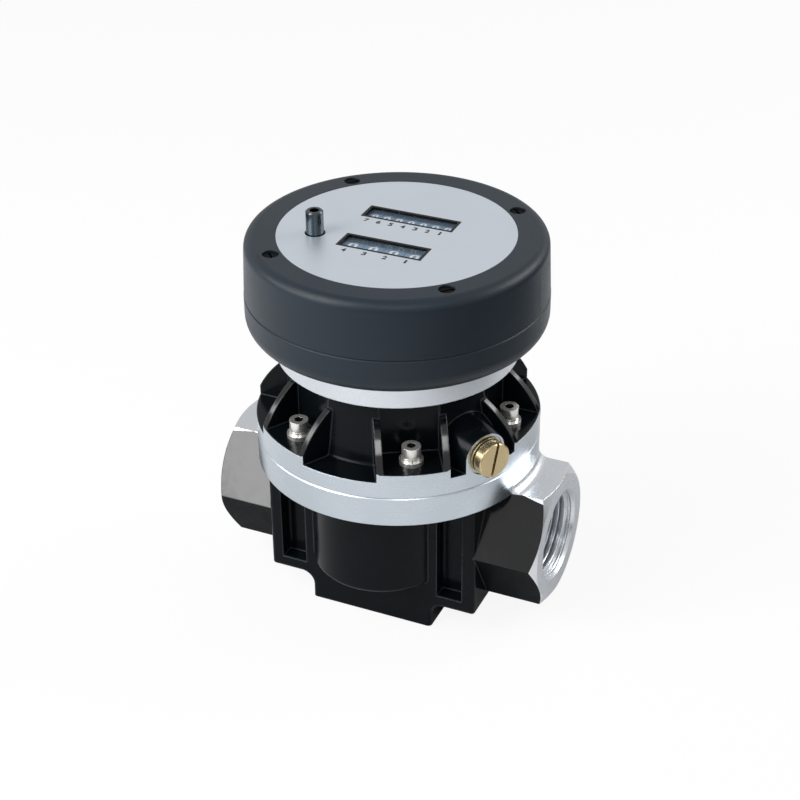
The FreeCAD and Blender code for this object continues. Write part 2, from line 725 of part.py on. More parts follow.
def cover_screws():
    """Socket head screws that clamp the cover to the body."""
    seat = SCREW_SEAT_Z + PLAIN_WASHER_T + SPRING_WASHER_T
    top = seat + SCREW_HEAD_T
    x = SCREW_CIRCLE_D / 2
    shank = cylinder(SCREW_D / 2, SEAM_Z - SCREW_BITE, seat, x, 0)
    head = cylinder(SCREW_HEAD_D / 2, seat, top, x, 0)
    socket = hexagon(SCREW_SOCKET_AF, top - SCREW_SOCKET_DEPTH, top, x, 0)
    screw = shank.fuse(head).removeSplitter().cut(socket)
    return Part.makeCompound(ring_of(screw, SCREW_COUNT))


def plain_washers():
    """Flat washers under the cover screws."""
    x = SCREW_CIRCLE_D / 2
    washer = tube(PLAIN_WASHER_D / 2, SCREW_D / 2, SCREW_SEAT_Z, SCREW_SEAT_Z + PLAIN_WASHER_T, x, 0)
    return Part.makeCompound(ring_of(washer, SCREW_COUNT))


def spring_washers():
    """Split washers between the flat washers and the screw heads."""
    x = SCREW_CIRCLE_D / 2
    low = SCREW_SEAT_Z + PLAIN_WASHER_T
    washer = tube(SPRING_WASHER_D / 2, SCREW_D / 2, low, low + SPRING_WASHER_T, x, 0)
    half = SPRING_WASHER_SPLIT / 2
    split = block(x, x + SPRING_WASHER_D, -half, half, low, low + SPRING_WASHER_T)
    return Part.makeCompound(ring_of(washer.cut(split), SCREW_COUNT))


def vent_plug():
    """Slotted brass plug in the vent boss."""
    face = PLUG_HEAD_X + PLUG_HEAD_T
    head = rod_x(PLUG_HEAD_D / 2, PLUG_HEAD_X, face, 0, 0)
    rim = [edge for edge in head.Edges if edge.BoundBox.XMin > face - 1e-6]
    head = head.makeChamfer(SEAM_CHAMFER, rim)
    shank = rod_x(PLUG_SHANK_D / 2, PLUG_HEAD_X - PLUG_SHANK_L, PLUG_HEAD_X, 0, 0)
    half = PLUG_SLOT_W / 2
    slot = block(face - PLUG_SLOT_DEPTH, face, -half, half, -PLUG_HEAD_D, PLUG_HEAD_D)
    slot.rotate(ORIGIN, AXIS_X, PLUG_SLOT_TILT)
    return plug_frame(head.fuse(shank).removeSplitter().cut(slot))


def plug_ring(diameter, start, end):
    """Flat ring round the plug's shank."""
    return plug_frame(rod_x(diameter / 2, start, end, 0, 0).cut(rod_x(PLUG_SHANK_D / 2, start, end, 0, 0)))


def vent_plug_washer():
    """Brass washer on the boss's spot face."""
    return plug_ring(PLUG_WASHER_D, PLUG_SEAT_X, PLUG_SEAL_X)


def vent_plug_seal():
    """Sealing ring between the washer and the plug's head."""
    return plug_ring(PLUG_SEAL_D, PLUG_SEAL_X, PLUG_HEAD_X)


def post_ring(radius, low, high):
    """Upright cylinders at the four housing screws."""
    return ring_of(cylinder(radius, low, high, POST_CIRCLE_R, 0), POST_COUNT, POST_AZIMUTH)


def register_base():
    """Lower half of the register housing, with a round underside and four posts."""
    bottom_r = BASE_R - BASE_ROUND
    round_z = COVER_TOP_Z + BASE_ROUND
    bend = BASE_ROUND * math.sqrt(0.5)
    points = [
        V(BASE_R, 0, round_z),
        V(BASE_R, 0, HOUSING_SEAM_Z - SEAM_CHAMFER),
        V(BASE_R - SEAM_CHAMFER, 0, HOUSING_SEAM_Z),
        V(BASE_WALL_R, 0, HOUSING_SEAM_Z),
        V(BASE_WALL_R, 0, BASE_FLOOR_Z + BASE_INNER_CHAMFER),
        V(BASE_FLOOR_R, 0, BASE_FLOOR_Z),
        V(0, 0, BASE_FLOOR_Z),
        V(0, 0, COVER_TOP_Z),
        V(bottom_r, 0, COVER_TOP_Z),
    ]
    edges = [line(a, b) for a, b in zip(points, points[1:])]
    edges.append(arc(points[-1], V(bottom_r + bend, 0, round_z - bend), points[0]))
    solid = revolve(edges).fuse(post_ring(POST_R, BASE_FLOOR_Z, HOUSING_SEAM_Z))
    for screw_hole in post_ring(BEZEL_SCREW_D / 2, HOUSING_SEAM_Z - BEZEL_SCREW_BITE, HOUSING_SEAM_Z):
        solid = solid.cut(screw_hole)
    for screw_hole in ring_of(base_screw_shank(), POST_COUNT):
        solid = solid.cut(screw_hole)
    for x, y in frame_screw_places():
        solid = solid.cut(cylinder(FRAME_SCREW_D / 2, COVER_TOP_Z, BASE_FLOOR_Z, x, y))
    solid = solid.cut(cylinder(DRIVE_SPINDLE_D, COVER_TOP_Z, BASE_FLOOR_Z, 0, DRIVE_Y))
    return solid.removeSplitter()


def register_bezel():
    """Upper half of the register housing, with a seat for the dial plate."""
    side_r = BEZEL_R - BEZEL_DRAFT
    wall_r = side_r - HOUSING_WALL
    seat_r = PLATE_R + PLATE_GAP
    ledge_r = PLATE_R - PLATE_LEDGE
    under_z = BEZEL_TOP_Z - BEZEL_TOP_T
    round_r = side_r - BEZEL_SHOULDER
    bend = BEZEL_SHOULDER * math.sqrt(0.5)
    points = [
        V(round_r, 0, BEZEL_TOP_Z),
        V(seat_r, 0, BEZEL_TOP_Z),
        V(seat_r, 0, PLATE_Z),
        V(ledge_r, 0, PLATE_Z),
        V(ledge_r, 0, under_z),
        V(wall_r, 0, under_z),
        V(wall_r, 0, HOUSING_SEAM_Z),
        V(BEZEL_R - SEAM_CHAMFER, 0, HOUSING_SEAM_Z),
        V(BEZEL_R, 0, HOUSING_SEAM_Z + SEAM_CHAMFER),
        V(side_r, 0, BEZEL_TOP_Z - BEZEL_SHOULDER),
    ]
    edges = [line(a, b) for a, b in zip(points, points[1:])]
    shoulder = V(round_r + bend, 0, BEZEL_TOP_Z - BEZEL_SHOULDER + bend)
    edges.append(arc(points[-1], shoulder, points[0]))
    solid = revolve(edges)
    solid = solid.fuse(post_ring(POST_R, HOUSING_SEAM_Z, under_z))
    seat_z = BEZEL_TOP_Z - BEZEL_SCREW_RECESS
    for recess in post_ring(BEZEL_SCREW_RECESS_D / 2, seat_z, BEZEL_TOP_Z):
        solid = solid.cut(recess)
    for screw_hole in post_ring(BEZEL_SCREW_D / 2 + RUNNING_GAP, HOUSING_SEAM_Z, seat_z):
        solid = solid.cut(screw_hole)
    return solid.removeSplitter()


def bezel_screws():
    """Sunk slotted screws that close the register housing."""
    seat = BEZEL_TOP_Z - BEZEL_SCREW_RECESS
    top = seat + BEZEL_SCREW_HEAD_T
    x = POST_CIRCLE_R
    shank = cylinder(BEZEL_SCREW_D / 2, HOUSING_SEAM_Z - BEZEL_SCREW_BITE, seat, x, 0)
    head = cylinder(BEZEL_SCREW_HEAD_D / 2, seat, top, x, 0)
    half = BEZEL_SCREW_SLOT / 2
    slot = block(x - half, x + half, -POST_R, POST_R, top - BEZEL_SCREW_HEAD_T / 2, top)
    screw = shank.fuse(head).removeSplitter().cut(slot)
    return Part.makeCompound(ring_of(screw, POST_COUNT, POST_AZIMUTH))


def window(x, y, length, width, low, high, lap=0.0):
    """Rectangular block over one counter."""
    half_l = length / 2 + lap
    half_w = width / 2 + lap
    return block(x - half_l, x + half_l, y - half_w, y + half_w, low, high)


def dial_plate():
    """Round dial plate with two counter windows and the push rod's hole."""
    plate = cylinder(PLATE_R, PLATE_Z, PLATE_TOP_Z)
    plate = plate.cut(window(TOTAL_X, TOTAL_Y, TOTAL_WINDOW_L, TOTAL_WINDOW_W, PLATE_Z, PLATE_TOP_Z))
    plate = plate.cut(window(RESET_X, RESET_Y, RESET_WINDOW_L, RESET_WINDOW_W, PLATE_Z, PLATE_TOP_Z))
    return plate.cut(cylinder(BUTTON_HOLE_D / 2, PLATE_Z, PLATE_TOP_Z, BUTTON_X, BUTTON_Y))


def total_window():
    """Clear lens under the plate over the total counter."""
    return window(TOTAL_X, TOTAL_Y, TOTAL_WINDOW_L, TOTAL_WINDOW_W, LENS_Z, PLATE_Z, LENS_LAP)


def reset_window():
    """Clear lens under the plate over the reset counter."""
    return window(RESET_X, RESET_Y, RESET_WINDOW_L, RESET_WINDOW_W, LENS_Z, PLATE_Z, LENS_LAP)


def window_frame(x, y, length, width):
    """Dark frame in a window of the plate, standing on the lens."""
    outer = window(x, y, length, width, PLATE_Z, PLATE_TOP_Z, -WINDOW_FRAME_GAP)
    return outer.cut(window(x, y, length, width, PLATE_Z, PLATE_TOP_Z, -WINDOW_FRAME_W))


def frame_screw_places():
    """Places of the four screws that hold the counter frame."""
    middle = (FRAME_LEFT_X + FRAME_RIGHT_X) / 2
    places = []
    for dx in (-FRAME_SCREW_X, FRAME_SCREW_X):
        for y in (FRAME_SCREW_Y, -FRAME_SCREW_Y):
            places.append((middle + dx, y))
    return places


def idler_place():
    """Place of the idler at one distance from the cross shaft and both counter axes."""
    y = (TOTAL_Y + RESET_Y) / 2
    across = (TOTAL_Y - RESET_Y) / 2
    top = across ** 2 - (y - CROSS_Y) ** 2 + WHEEL_Z ** 2 - CROSS_Z ** 2
    z = top / (2 * (WHEEL_Z - CROSS_Z))
    return y, z, math.hypot(across, WHEEL_Z - z)


IDLER_Y, IDLER_Z, TRAIN_CENTRE = idler_place()
TRAIN_MODULE = 2 * TRAIN_CENTRE / (TRAIN_TEETH + IDLER_TEETH)


def counter_frame():
    """Bent sheet frame: a floor and two cheeks that carry every shaft of the register."""
    top = WHEEL_Z + FRAME_CLEAR
    left = FRAME_LEFT_X - FRAME_T
    right = FRAME_RIGHT_X + FRAME_T
    outer = block(left, right, FRAME_FRONT_Y, FRAME_BACK_Y, BASE_FLOOR_Z, top)
    inner = block(FRAME_LEFT_X, FRAME_RIGHT_X, FRAME_FRONT_Y, FRAME_BACK_Y, FRAME_FLOOR_Z, top)
    bends = []
    for edge in outer.Edges:
        box = edge.BoundBox
        if box.XLength + box.ZLength < 1e-6 and box.ZMax < BASE_FLOOR_Z + 1e-6:
            bends.append(edge)
    frame = outer.makeFillet(FRAME_BEND, bends).cut(inner)
    bore = SPINDLE_D / 2
    for y in (TOTAL_Y, RESET_Y):
        frame = frame.cut(rod_x(bore, left, right, y, WHEEL_Z))
    frame = frame.cut(rod_x(bore + RUNNING_GAP, left, right, CROSS_Y, CROSS_Z))
    frame = frame.cut(rod_x(bore, FRAME_RIGHT_X, right, IDLER_Y, IDLER_Z))
    frame = frame.cut(cylinder(DRIVE_SPINDLE_D / 2 + RUNNING_GAP, BASE_FLOOR_Z, FRAME_FLOOR_Z, 0, DRIVE_Y))
    for x, y in frame_screw_places():
        frame = frame.cut(cylinder(FRAME_SCREW_D / 2, BASE_FLOOR_Z, FRAME_FLOOR_Z, x, y))
    return frame


def frame_screws():
    """Screws that hold the counter frame on the register's floor."""
    screws = []
    for x, y in frame_screw_places():
        shank = cylinder(FRAME_SCREW_D / 2, COVER_TOP_Z, FRAME_FLOOR_Z, x, y)
        head = cylinder(FRAME_SCREW_HEAD_D / 2, FRAME_FLOOR_Z, FRAME_FLOOR_Z + FRAME_SCREW_HEAD_T, x, y)
        screws.append(shank.fuse(head).removeSplitter())
    return Part.makeCompound(screws)


def counter_spindle(y):
    """Fixed spindle of one counter, from cheek to cheek."""
    return rod_x(SPINDLE_D / 2, FRAME_LEFT_X - FRAME_T, FRAME_RIGHT_X + FRAME_T, y, WHEEL_Z)


def number_wheel(x, y, pitch):
    """Number wheel that turns on a counter spindle, with a rim, a web and a hub."""
    left = x - (pitch - WHEEL_GAP) / 2
    right = x + (pitch - WHEEL_GAP) / 2
    bore = SPINDLE_D / 2 + RUNNING_GAP
    wheel = rod_x(WHEEL_R, left, right, y, WHEEL_Z).cut(rod_x(bore, left, right, y, WHEEL_Z))
    sides = rod_x(WHEEL_R - WHEEL_RIM, left, right, y, WHEEL_Z)
    sides = sides.cut(rod_x(bore + WHEEL_HUB_WALL, left, right, y, WHEEL_Z))
    web = rod_x(WHEEL_R, left + WHEEL_SIDE_RECESS, right - WHEEL_SIDE_RECESS, y, WHEEL_Z)
    return wheel.cut(sides.cut(web))


def wheel_places(x, pitch, count):
    """Places of a counter's wheels along X, units first."""
    return [x + pitch * ((count - 1) / 2 - index) for index in range(count)]


def gear_outline(teeth, module, phase):
    """Closed outline of a spur gear, with a tooth in the direction of the phase angle."""
    radius = teeth * module / 2
    step = 2 * math.pi / teeth
    tip = radius + TOOTH_TIP * module
    root = radius - TOOTH_ROOT * module
    corners = [
        (-TOOTH_ROOT_SHARE / 2, root),
        (-TOOTH_PITCH_SHARE / 2, radius),
        (-TOOTH_TIP_SHARE / 2, tip),
        (TOOTH_TIP_SHARE / 2, tip),
        (TOOTH_PITCH_SHARE / 2, radius),
        (TOOTH_ROOT_SHARE / 2, root),
    ]
    points = []
    for tooth in range(teeth):
        for share, distance in corners:
            angle = phase + step * (tooth + share)
            points.append((distance * math.cos(angle), distance * math.sin(angle)))
    return points


def gear_x(teeth, module, phase, bore, place):
    """Spur gear that turns round X, given its axis (y, z), start and width."""
    y, z, start, width = place
    outline = [V(start, y + a, z + b) for a, b in gear_outline(teeth, module, phase)]
    gear = polygon_face(outline).extrude(V(width, 0, 0))
    return gear.cut(rod_x(bore, start, start + width, y, z))


def direction(y0, z0, y1, z1):
    """Angle from one axis to another, seen along X."""
    return math.atan2(z1 - z0, y1 - y0)


def meshing_phase(y, z):
    """Phase of a train gear at one axis, so that its space faces the idler's tooth."""
    idler_step = 2 * math.pi / IDLER_TEETH
    towards = direction(IDLER_Y, IDLER_Z, y, z)
    start = direction(IDLER_Y, IDLER_Z, CROSS_Y, CROSS_Z)
    turns = (towards - start) / idler_step
    offset = (round(turns) - turns) * idler_step
    half_step = math.pi / TRAIN_TEETH
    return towards + math.pi - offset * IDLER_TEETH / TRAIN_TEETH + half_step


def train_gear(y, z, bore):
    """Gear of the train on the cross shaft or beside a units wheel."""
    return gear_x(TRAIN_TEETH, TRAIN_MODULE, meshing_phase(y, z), bore, (y, z, TRAIN_X, TRAIN_W))


def units_gear(y, x, pitch, count):
    """Gear of the train with a hub that reaches the units wheel of its counter."""
    bore = SPINDLE_D / 2 + RUNNING_GAP
    wheel_face = wheel_places(x, pitch, count)[0] + (pitch - WHEEL_GAP) / 2
    hub = rod_x(bore + TRAIN_HUB_WALL, wheel_face, TRAIN_X, y, WHEEL_Z)
    hub = hub.cut(rod_x(bore, wheel_face, TRAIN_X, y, WHEEL_Z))
    return train_gear(y, WHEEL_Z, bore).fuse(hub).removeSplitter()


def idler_gear():
    """Idler between the cross shaft and both counters."""
    phase = direction(IDLER_Y, IDLER_Z, CROSS_Y, CROSS_Z)
    bore = SPINDLE_D / 2 + RUNNING_GAP
    return gear_x(IDLER_TEETH, TRAIN_MODULE, phase, bore, (IDLER_Y, IDLER_Z, TRAIN_X, TRAIN_W))


def idler_pin():
    """Headed pin in the right cheek, with a shoulder that keeps the idler in place."""
    pin = SPINDLE_D / 2
    head = pin + IDLER_HEAD_WALL
    near = TRAIN_X - RUNNING_GAP
    far = TRAIN_X + TRAIN_W + RUNNING_GAP
    solid = rod_x(pin, near, FRAME_RIGHT_X + FRAME_T, IDLER_Y, IDLER_Z)
    solid = solid.fuse(rod_x(head, near - IDLER_HEAD_T, near, IDLER_Y, IDLER_Z))
    return solid.fuse(rod_x(head, far, FRAME_RIGHT_X, IDLER_Y, IDLER_Z)).removeSplitter()


def cross_shaft():
    """Shaft from the worm wheel to the train."""
    return rod_x(SPINDLE_D / 2, FRAME_LEFT_X - FRAME_T, FRAME_RIGHT_X + FRAME_T, CROSS_Y, CROSS_Z)


def worm_wheel():
    """Worm wheel on the cross shaft, over the drive spindle's worm."""
    place = (CROSS_Y, CROSS_Z, -WORM_WHEEL_W / 2, WORM_WHEEL_W)
    return gear_x(WORM_WHEEL_TEETH, WORM_WHEEL_MODULE, 0.0, SPINDLE_D / 2, place)


def drive_spindle():
    """Upright spindle from the magnet follower to the worm."""
    low = MAGNET_WALL_Z + SPINDLE_PIVOT_GAP
    worm_z = CROSS_Z - WORM_L / 2
    rod = cylinder(DRIVE_SPINDLE_D / 2, low, worm_z, 0, DRIVE_Y)
    return rod.fuse(cylinder(WORM_D / 2, worm_z, CROSS_Z + WORM_L / 2, 0, DRIVE_Y)).removeSplitter()


def spindle_bush():
    """Bearing bush in the cover, round the drive spindle's foot."""
    bore = DRIVE_SPINDLE_D / 2 + RUNNING_GAP
    return tube(SPINDLE_BUSH_D / 2, bore, MAGNET_WALL_Z, MAGNET_WALL_Z + SPINDLE_BUSH_T, 0, DRIVE_Y)


def follower_disc():
    """Disc that carries the follower magnets over the partition."""
    low = MAGNET_WALL_Z + FOLLOWER_GAP
    disc = cylinder(FOLLOWER_R, low, low + FOLLOWER_T, 0, DRIVE_Y)
    disc = disc.cut(cylinder(DRIVE_SPINDLE_D / 2, low, low + FOLLOWER_T, 0, DRIVE_Y))
    return disc.cut(follower_magnets())


def follower_magnets():
    """Magnets in the underside of the follower disc."""
    low = MAGNET_WALL_Z + FOLLOWER_GAP
    return magnets(DRIVE_Y, 90, low, low + FOLLOWER_MAGNET_L)


def drive_magnets():
    """Magnets in the top of the front oval gear."""
    return magnets(DRIVE_Y, 90, ROTOR_TOP_Z - MAGNET_L, ROTOR_TOP_Z)


def rotor_bush(y):
    """Bearing bush pressed into an oval gear."""
    return tube(BUSH_R, BUSH_BORE_R, ROTOR_Z, ROTOR_TOP_Z, 0, y)


def rotor_shaft(y):
    """Fixed shaft of an oval gear, pressed into the chamber's floor."""
    return cylinder(ROTOR_SHAFT_D / 2, CHAMBER_Z - SHAFT_SEAT, SEAM_Z - SHAFT_END_GAP, 0, y)


COLLAR_TOP_Z = PLATE_Z - BUTTON_COLLAR_GAP
SPRING_TOP_Z = COLLAR_TOP_Z - BUTTON_COLLAR_T
GUIDE_TOP_Z = SPRING_TOP_Z - BUTTON_TRAVEL - SPRING_PRESSED


def reset_button():
    """Push rod with a hollow top and a collar under the plate."""
    top = PLATE_TOP_Z + BUTTON_STAND
    low = GUIDE_TOP_Z - BUTTON_ENGAGE
    rod = cylinder(BUTTON_D / 2, low, top, BUTTON_X, BUTTON_Y)
    rim = [edge for edge in rod.Edges if edge.BoundBox.ZMin > top - 1e-6]
    rod = rod.makeChamfer(BUTTON_EDGE, rim)
    collar = cylinder(BUTTON_COLLAR_D / 2, SPRING_TOP_Z, COLLAR_TOP_Z, BUTTON_X, BUTTON_Y)
    rod = rod.fuse(collar).removeSplitter()
    return rod.cut(cylinder(BUTTON_BORE_D / 2, top - BUTTON_BORE_DEPTH, top, BUTTON_X, BUTTON_Y))


def reset_guide():
    """Upright guide tube of the push rod, standing on the register's floor."""
    bore = BUTTON_D / 2 + RUNNING_GAP
    return tube(GUIDE_D / 2, bore, BASE_FLOOR_Z, GUIDE_TOP_Z, BUTTON_X, BUTTON_Y)


def reset_spring():
    """Return spring between the guide tube and the push rod's collar."""
    radius = BUTTON_D / 2 + SPRING_GAP + SPRING_WIRE / 2
    height = SPRING_TOP_Z - GUIDE_TOP_Z - SPRING_WIRE
    helix = Part.makeHelix(height / SPRING_TURNS, height, radius)
    half = SPRING_WIRE / 2
    inner = radius - half
    outer = radius + half
    corners = [V(inner, 0, -half), V(outer, 0, -half), V(outer, 0, half), V(inner, 0, half)]
    section = Part.makePolygon(corners + [corners[0]])
    wire = Part.Wire(helix.Edges).makePipeShell([section], True, True)
    wire.translate(V(BUTTON_X, BUTTON_Y, GUIDE_TOP_Z + half))
    return wire


def cover_seal():
    """Sealing ring in the body's groove, pressed flat by the cover."""
    return tube(SEAL_R + SEAL_W, SEAL_R, SEAM_Z - SEAL_T, SEAM_Z)


def main():
    """Builds every piece and writes it out."""
    os.makedirs("parts", exist_ok=True)
    export(meter_body(), "meter_body")
    export(meter_cover(), "meter_cover")
    export(cover_seal(), "cover_seal")
    export(cover_screws(), "cover_screws")
    export(plain_washers(), "plain_washers")
    export(spring_washers(), "spring_washers")
    export(vent_plug(), "vent_plug")
    export(vent_plug_washer(), "vent_plug_washer")
    export(vent_plug_seal(), "vent_plug_seal")
    export(rotor_shaft(-CENTRE_HALF), "rotor_shaft_a")
    export(rotor_shaft(CENTRE_HALF), "rotor_shaft_b")
    export(oval_gear(-CENTRE_HALF, 90).cut(drive_magnets()), "oval_gear_a")
    export(oval_gear(CENTRE_HALF, 0), "oval_gear_b")
    export(rotor_bush(-CENTRE_HALF), "rotor_bush_a")
    export(rotor_bush(CENTRE_HALF), "rotor_bush_b")
    export(drive_magnets(), "drive_magnets")
    export(follower_disc(), "follower_disc")
    export(follower_magnets(), "follower_magnets")
    export(drive_spindle(), "drive_spindle")
    export(spindle_bush(), "spindle_bush")
    export(register_base(), "register_base")
    export(base_screws(), "base_screws")
    export(register_bezel(), "register_bezel")
    export(bezel_screws(), "bezel_screws")
    export(dial_plate(), "dial_plate")
    export(total_window(), "total_window")
    export(reset_window(), "reset_window")
    export(window_frame(TOTAL_X, TOTAL_Y, TOTAL_WINDOW_L, TOTAL_WINDOW_W), "total_window_frame")
    export(window_frame(RESET_X, RESET_Y, RESET_WINDOW_L, RESET_WINDOW_W), "reset_window_frame")
    export(counter_frame(), "counter_frame")
    export(frame_screws(), "frame_screws")
    export(counter_spindle(TOTAL_Y), "total_spindle")
    export(counter_spindle(RESET_Y), "reset_spindle")
    for index, x in enumerate(wheel_places(TOTAL_X, TOTAL_PITCH, TOTAL_WHEELS), 1):
        export(number_wheel(x, TOTAL_Y, TOTAL_PITCH), "total_wheel_%d" % index)
    for index, x in enumerate(wheel_places(RESET_X, RESET_PITCH, RESET_WHEELS), 1):
        export(number_wheel(x, RESET_Y, RESET_PITCH), "reset_wheel_%d" % index)
    export(units_gear(TOTAL_Y, TOTAL_X, TOTAL_PITCH, TOTAL_WHEELS), "total_gear")
    export(units_gear(RESET_Y, RESET_X, RESET_PITCH, RESET_WHEELS), "reset_gear")
    export(train_gear(CROSS_Y, CROSS_Z, SPINDLE_D / 2), "cross_gear")
    export(idler_gear(), "idler_gear")
    export(idler_pin(), "idler_pin")
    export(cross_shaft(), "cross_shaft")
    export(worm_wheel(), "worm_wheel")
    export(reset_button(), "reset_button")
    export(reset_guide(), "reset_guide")
    export(reset_spring(), "reset_spring")


main()
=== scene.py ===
"""Looks of an oval gear flow meter: finishes, pipe threads, counter digits, return spring and studio."""

import json
import logging
import math
from abc import ABC, abstractmethod
from dataclasses import dataclass, replace
from enum import Enum

import bmesh
import bpy
import numpy as np
from mathutils import Matrix, Vector


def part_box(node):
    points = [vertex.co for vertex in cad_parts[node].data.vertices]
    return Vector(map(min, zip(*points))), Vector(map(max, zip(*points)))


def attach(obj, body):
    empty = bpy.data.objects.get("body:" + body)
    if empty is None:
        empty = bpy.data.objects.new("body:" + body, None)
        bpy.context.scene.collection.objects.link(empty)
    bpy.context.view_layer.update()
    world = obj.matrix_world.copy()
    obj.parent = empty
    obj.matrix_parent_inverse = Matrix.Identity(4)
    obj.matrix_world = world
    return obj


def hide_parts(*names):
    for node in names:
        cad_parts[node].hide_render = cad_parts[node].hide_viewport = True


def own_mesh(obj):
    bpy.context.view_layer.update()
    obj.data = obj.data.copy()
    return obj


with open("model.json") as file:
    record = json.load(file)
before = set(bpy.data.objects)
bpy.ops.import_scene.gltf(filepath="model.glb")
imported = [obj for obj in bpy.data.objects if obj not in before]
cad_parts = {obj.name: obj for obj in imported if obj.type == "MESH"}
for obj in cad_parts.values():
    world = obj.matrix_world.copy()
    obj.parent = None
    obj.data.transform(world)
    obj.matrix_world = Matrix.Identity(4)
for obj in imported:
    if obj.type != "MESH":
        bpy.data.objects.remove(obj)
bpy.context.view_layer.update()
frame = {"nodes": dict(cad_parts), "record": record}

MM = 0.001
WHITE = (1.0, 1.0, 1.0, 1.0)

# Mounts of the two pipe ports, and the height of their common axis over the foot, in metres
PORTS = [mount for mount in frame["record"]["mounts"] if mount["kind"] == "threaded_hole"]
PORT_AXIS_Z = PORTS[0]["pos_m"][2]
# Height of the seam between body and cover, in mm
SEAM = 72.0
# Screws that hold the cover, evenly round the upright axis with the first on X
COVER_SCREWS = 6
# Digits round a number wheel
WHEEL_DIGITS = 10

# Octaves of the fine and the broad noise of a finish, and of the wipe marks on clear plastic
FINE_DETAIL = 3.0
BROAD_DETAIL = 2.0
WIPE_DETAIL = 4.0
# Products of the fine and the broad noise at which a finish is glossiest and dullest
GLOSS_NOISE = (0.12, 0.42)
# How many times longer than wide the marks of a rolled sheet are
ROLL_STRETCH = 50.0
# Rays that feel for an edge
EDGE_SAMPLES = 4
# Cosines between soft and flat normal where an edge begins to take its paler colour, partly wear and partly
# painted highlight, and takes it fully
EDGE_WEAR_AND_HIGHLIGHT_COSINES = (0.98, 0.80)
# Share of the paler edge colour, partly wear and partly painted highlight, on an edge that takes it fully
EDGE_WEAR_AND_HIGHLIGHT_SHARE = 0.8

Tree = bpy.types.NodeTree
Socket = bpy.types.NodeSocket
# Points of a closed solid in mm, and the corners of each of its faces
Solid = tuple[np.ndarray, list[list[int]]]

log = logging.getLogger("flow_meter")


def linear(colour: str) -> tuple[float, float, float, float]:
    """Turns an sRGB colour into linear light, by the standard curve: a straight foot and a power above it.

    Args:
        colour: hex value such as "#C4C8CC".

    Returns:
        Red, green, blue and a full alpha.
    """
    parts = np.array([int(colour[i:i + 2], 16) for i in (1, 3, 5)]) / 255.0
    light = np.where(parts <= 0.04045, parts / 12.92, ((parts + 0.055) / 1.055) ** 2.4)
    return (*map(float, light), 1.0)


def add(tree: Tree, kind: str, inputs: dict | None = None, **settings: object) -> bpy.types.Node:
    """Adds one node with its settings and fills or links its inputs.

    Args:
        tree: node tree that gets the node.
        kind: Blender's type name of the node.
        inputs: socket name or number to a plain value, or to the output that feeds it.
        settings: the node's own attributes.

    Returns:
        The new node.
    """
    node = tree.nodes.new(kind)
    for name, value in settings.items():
        setattr(node, name, value)
    for name, value in (inputs or {}).items():
        if isinstance(value, Socket):
            tree.links.new(value, node.inputs[name])
        else:
            node.inputs[name].default_value = value
    return node


def fresh_tree(owner: bpy.types.Material | bpy.types.World) -> Tree:
    """Switches nodes on for a material or a world.

    Args:
        owner: the material or world.

    Returns:
        Its node tree, emptied.
    """
    owner.use_nodes = True
    owner.node_tree.nodes.clear()
    return owner.node_tree


@dataclass(frozen=True)
class Surface(ABC):
    """What a surface is made of.

    Attributes:
        name: name of the material.
    """

    name: str

    @abstractmethod
    def shader(self, tree: Tree) -> bpy.types.Node:
        """Adds the nodes of the finish and returns its shader."""

    def material(self) -> bpy.types.Material:
        """Makes the material once, and returns the same one after that.

        Returns:
            The material.
        """
        made = bpy.data.materials.get(self.name)
        if made is None:
            made = bpy.data.materials.new(self.name)
            tree = fresh_tree(made)
            add(tree, "ShaderNodeOutputMaterial", {"Surface": self.shader(tree).outputs[0]})
        return made


class Lay(Enum):
    """Which way the marks of the making run."""

    GRAIN = "even in all directions"
    UPRIGHT = "rings about the meter's upright axis"
    PORT = "rings about the axis of the ports"
    ROLLED = "long lines from left to right"


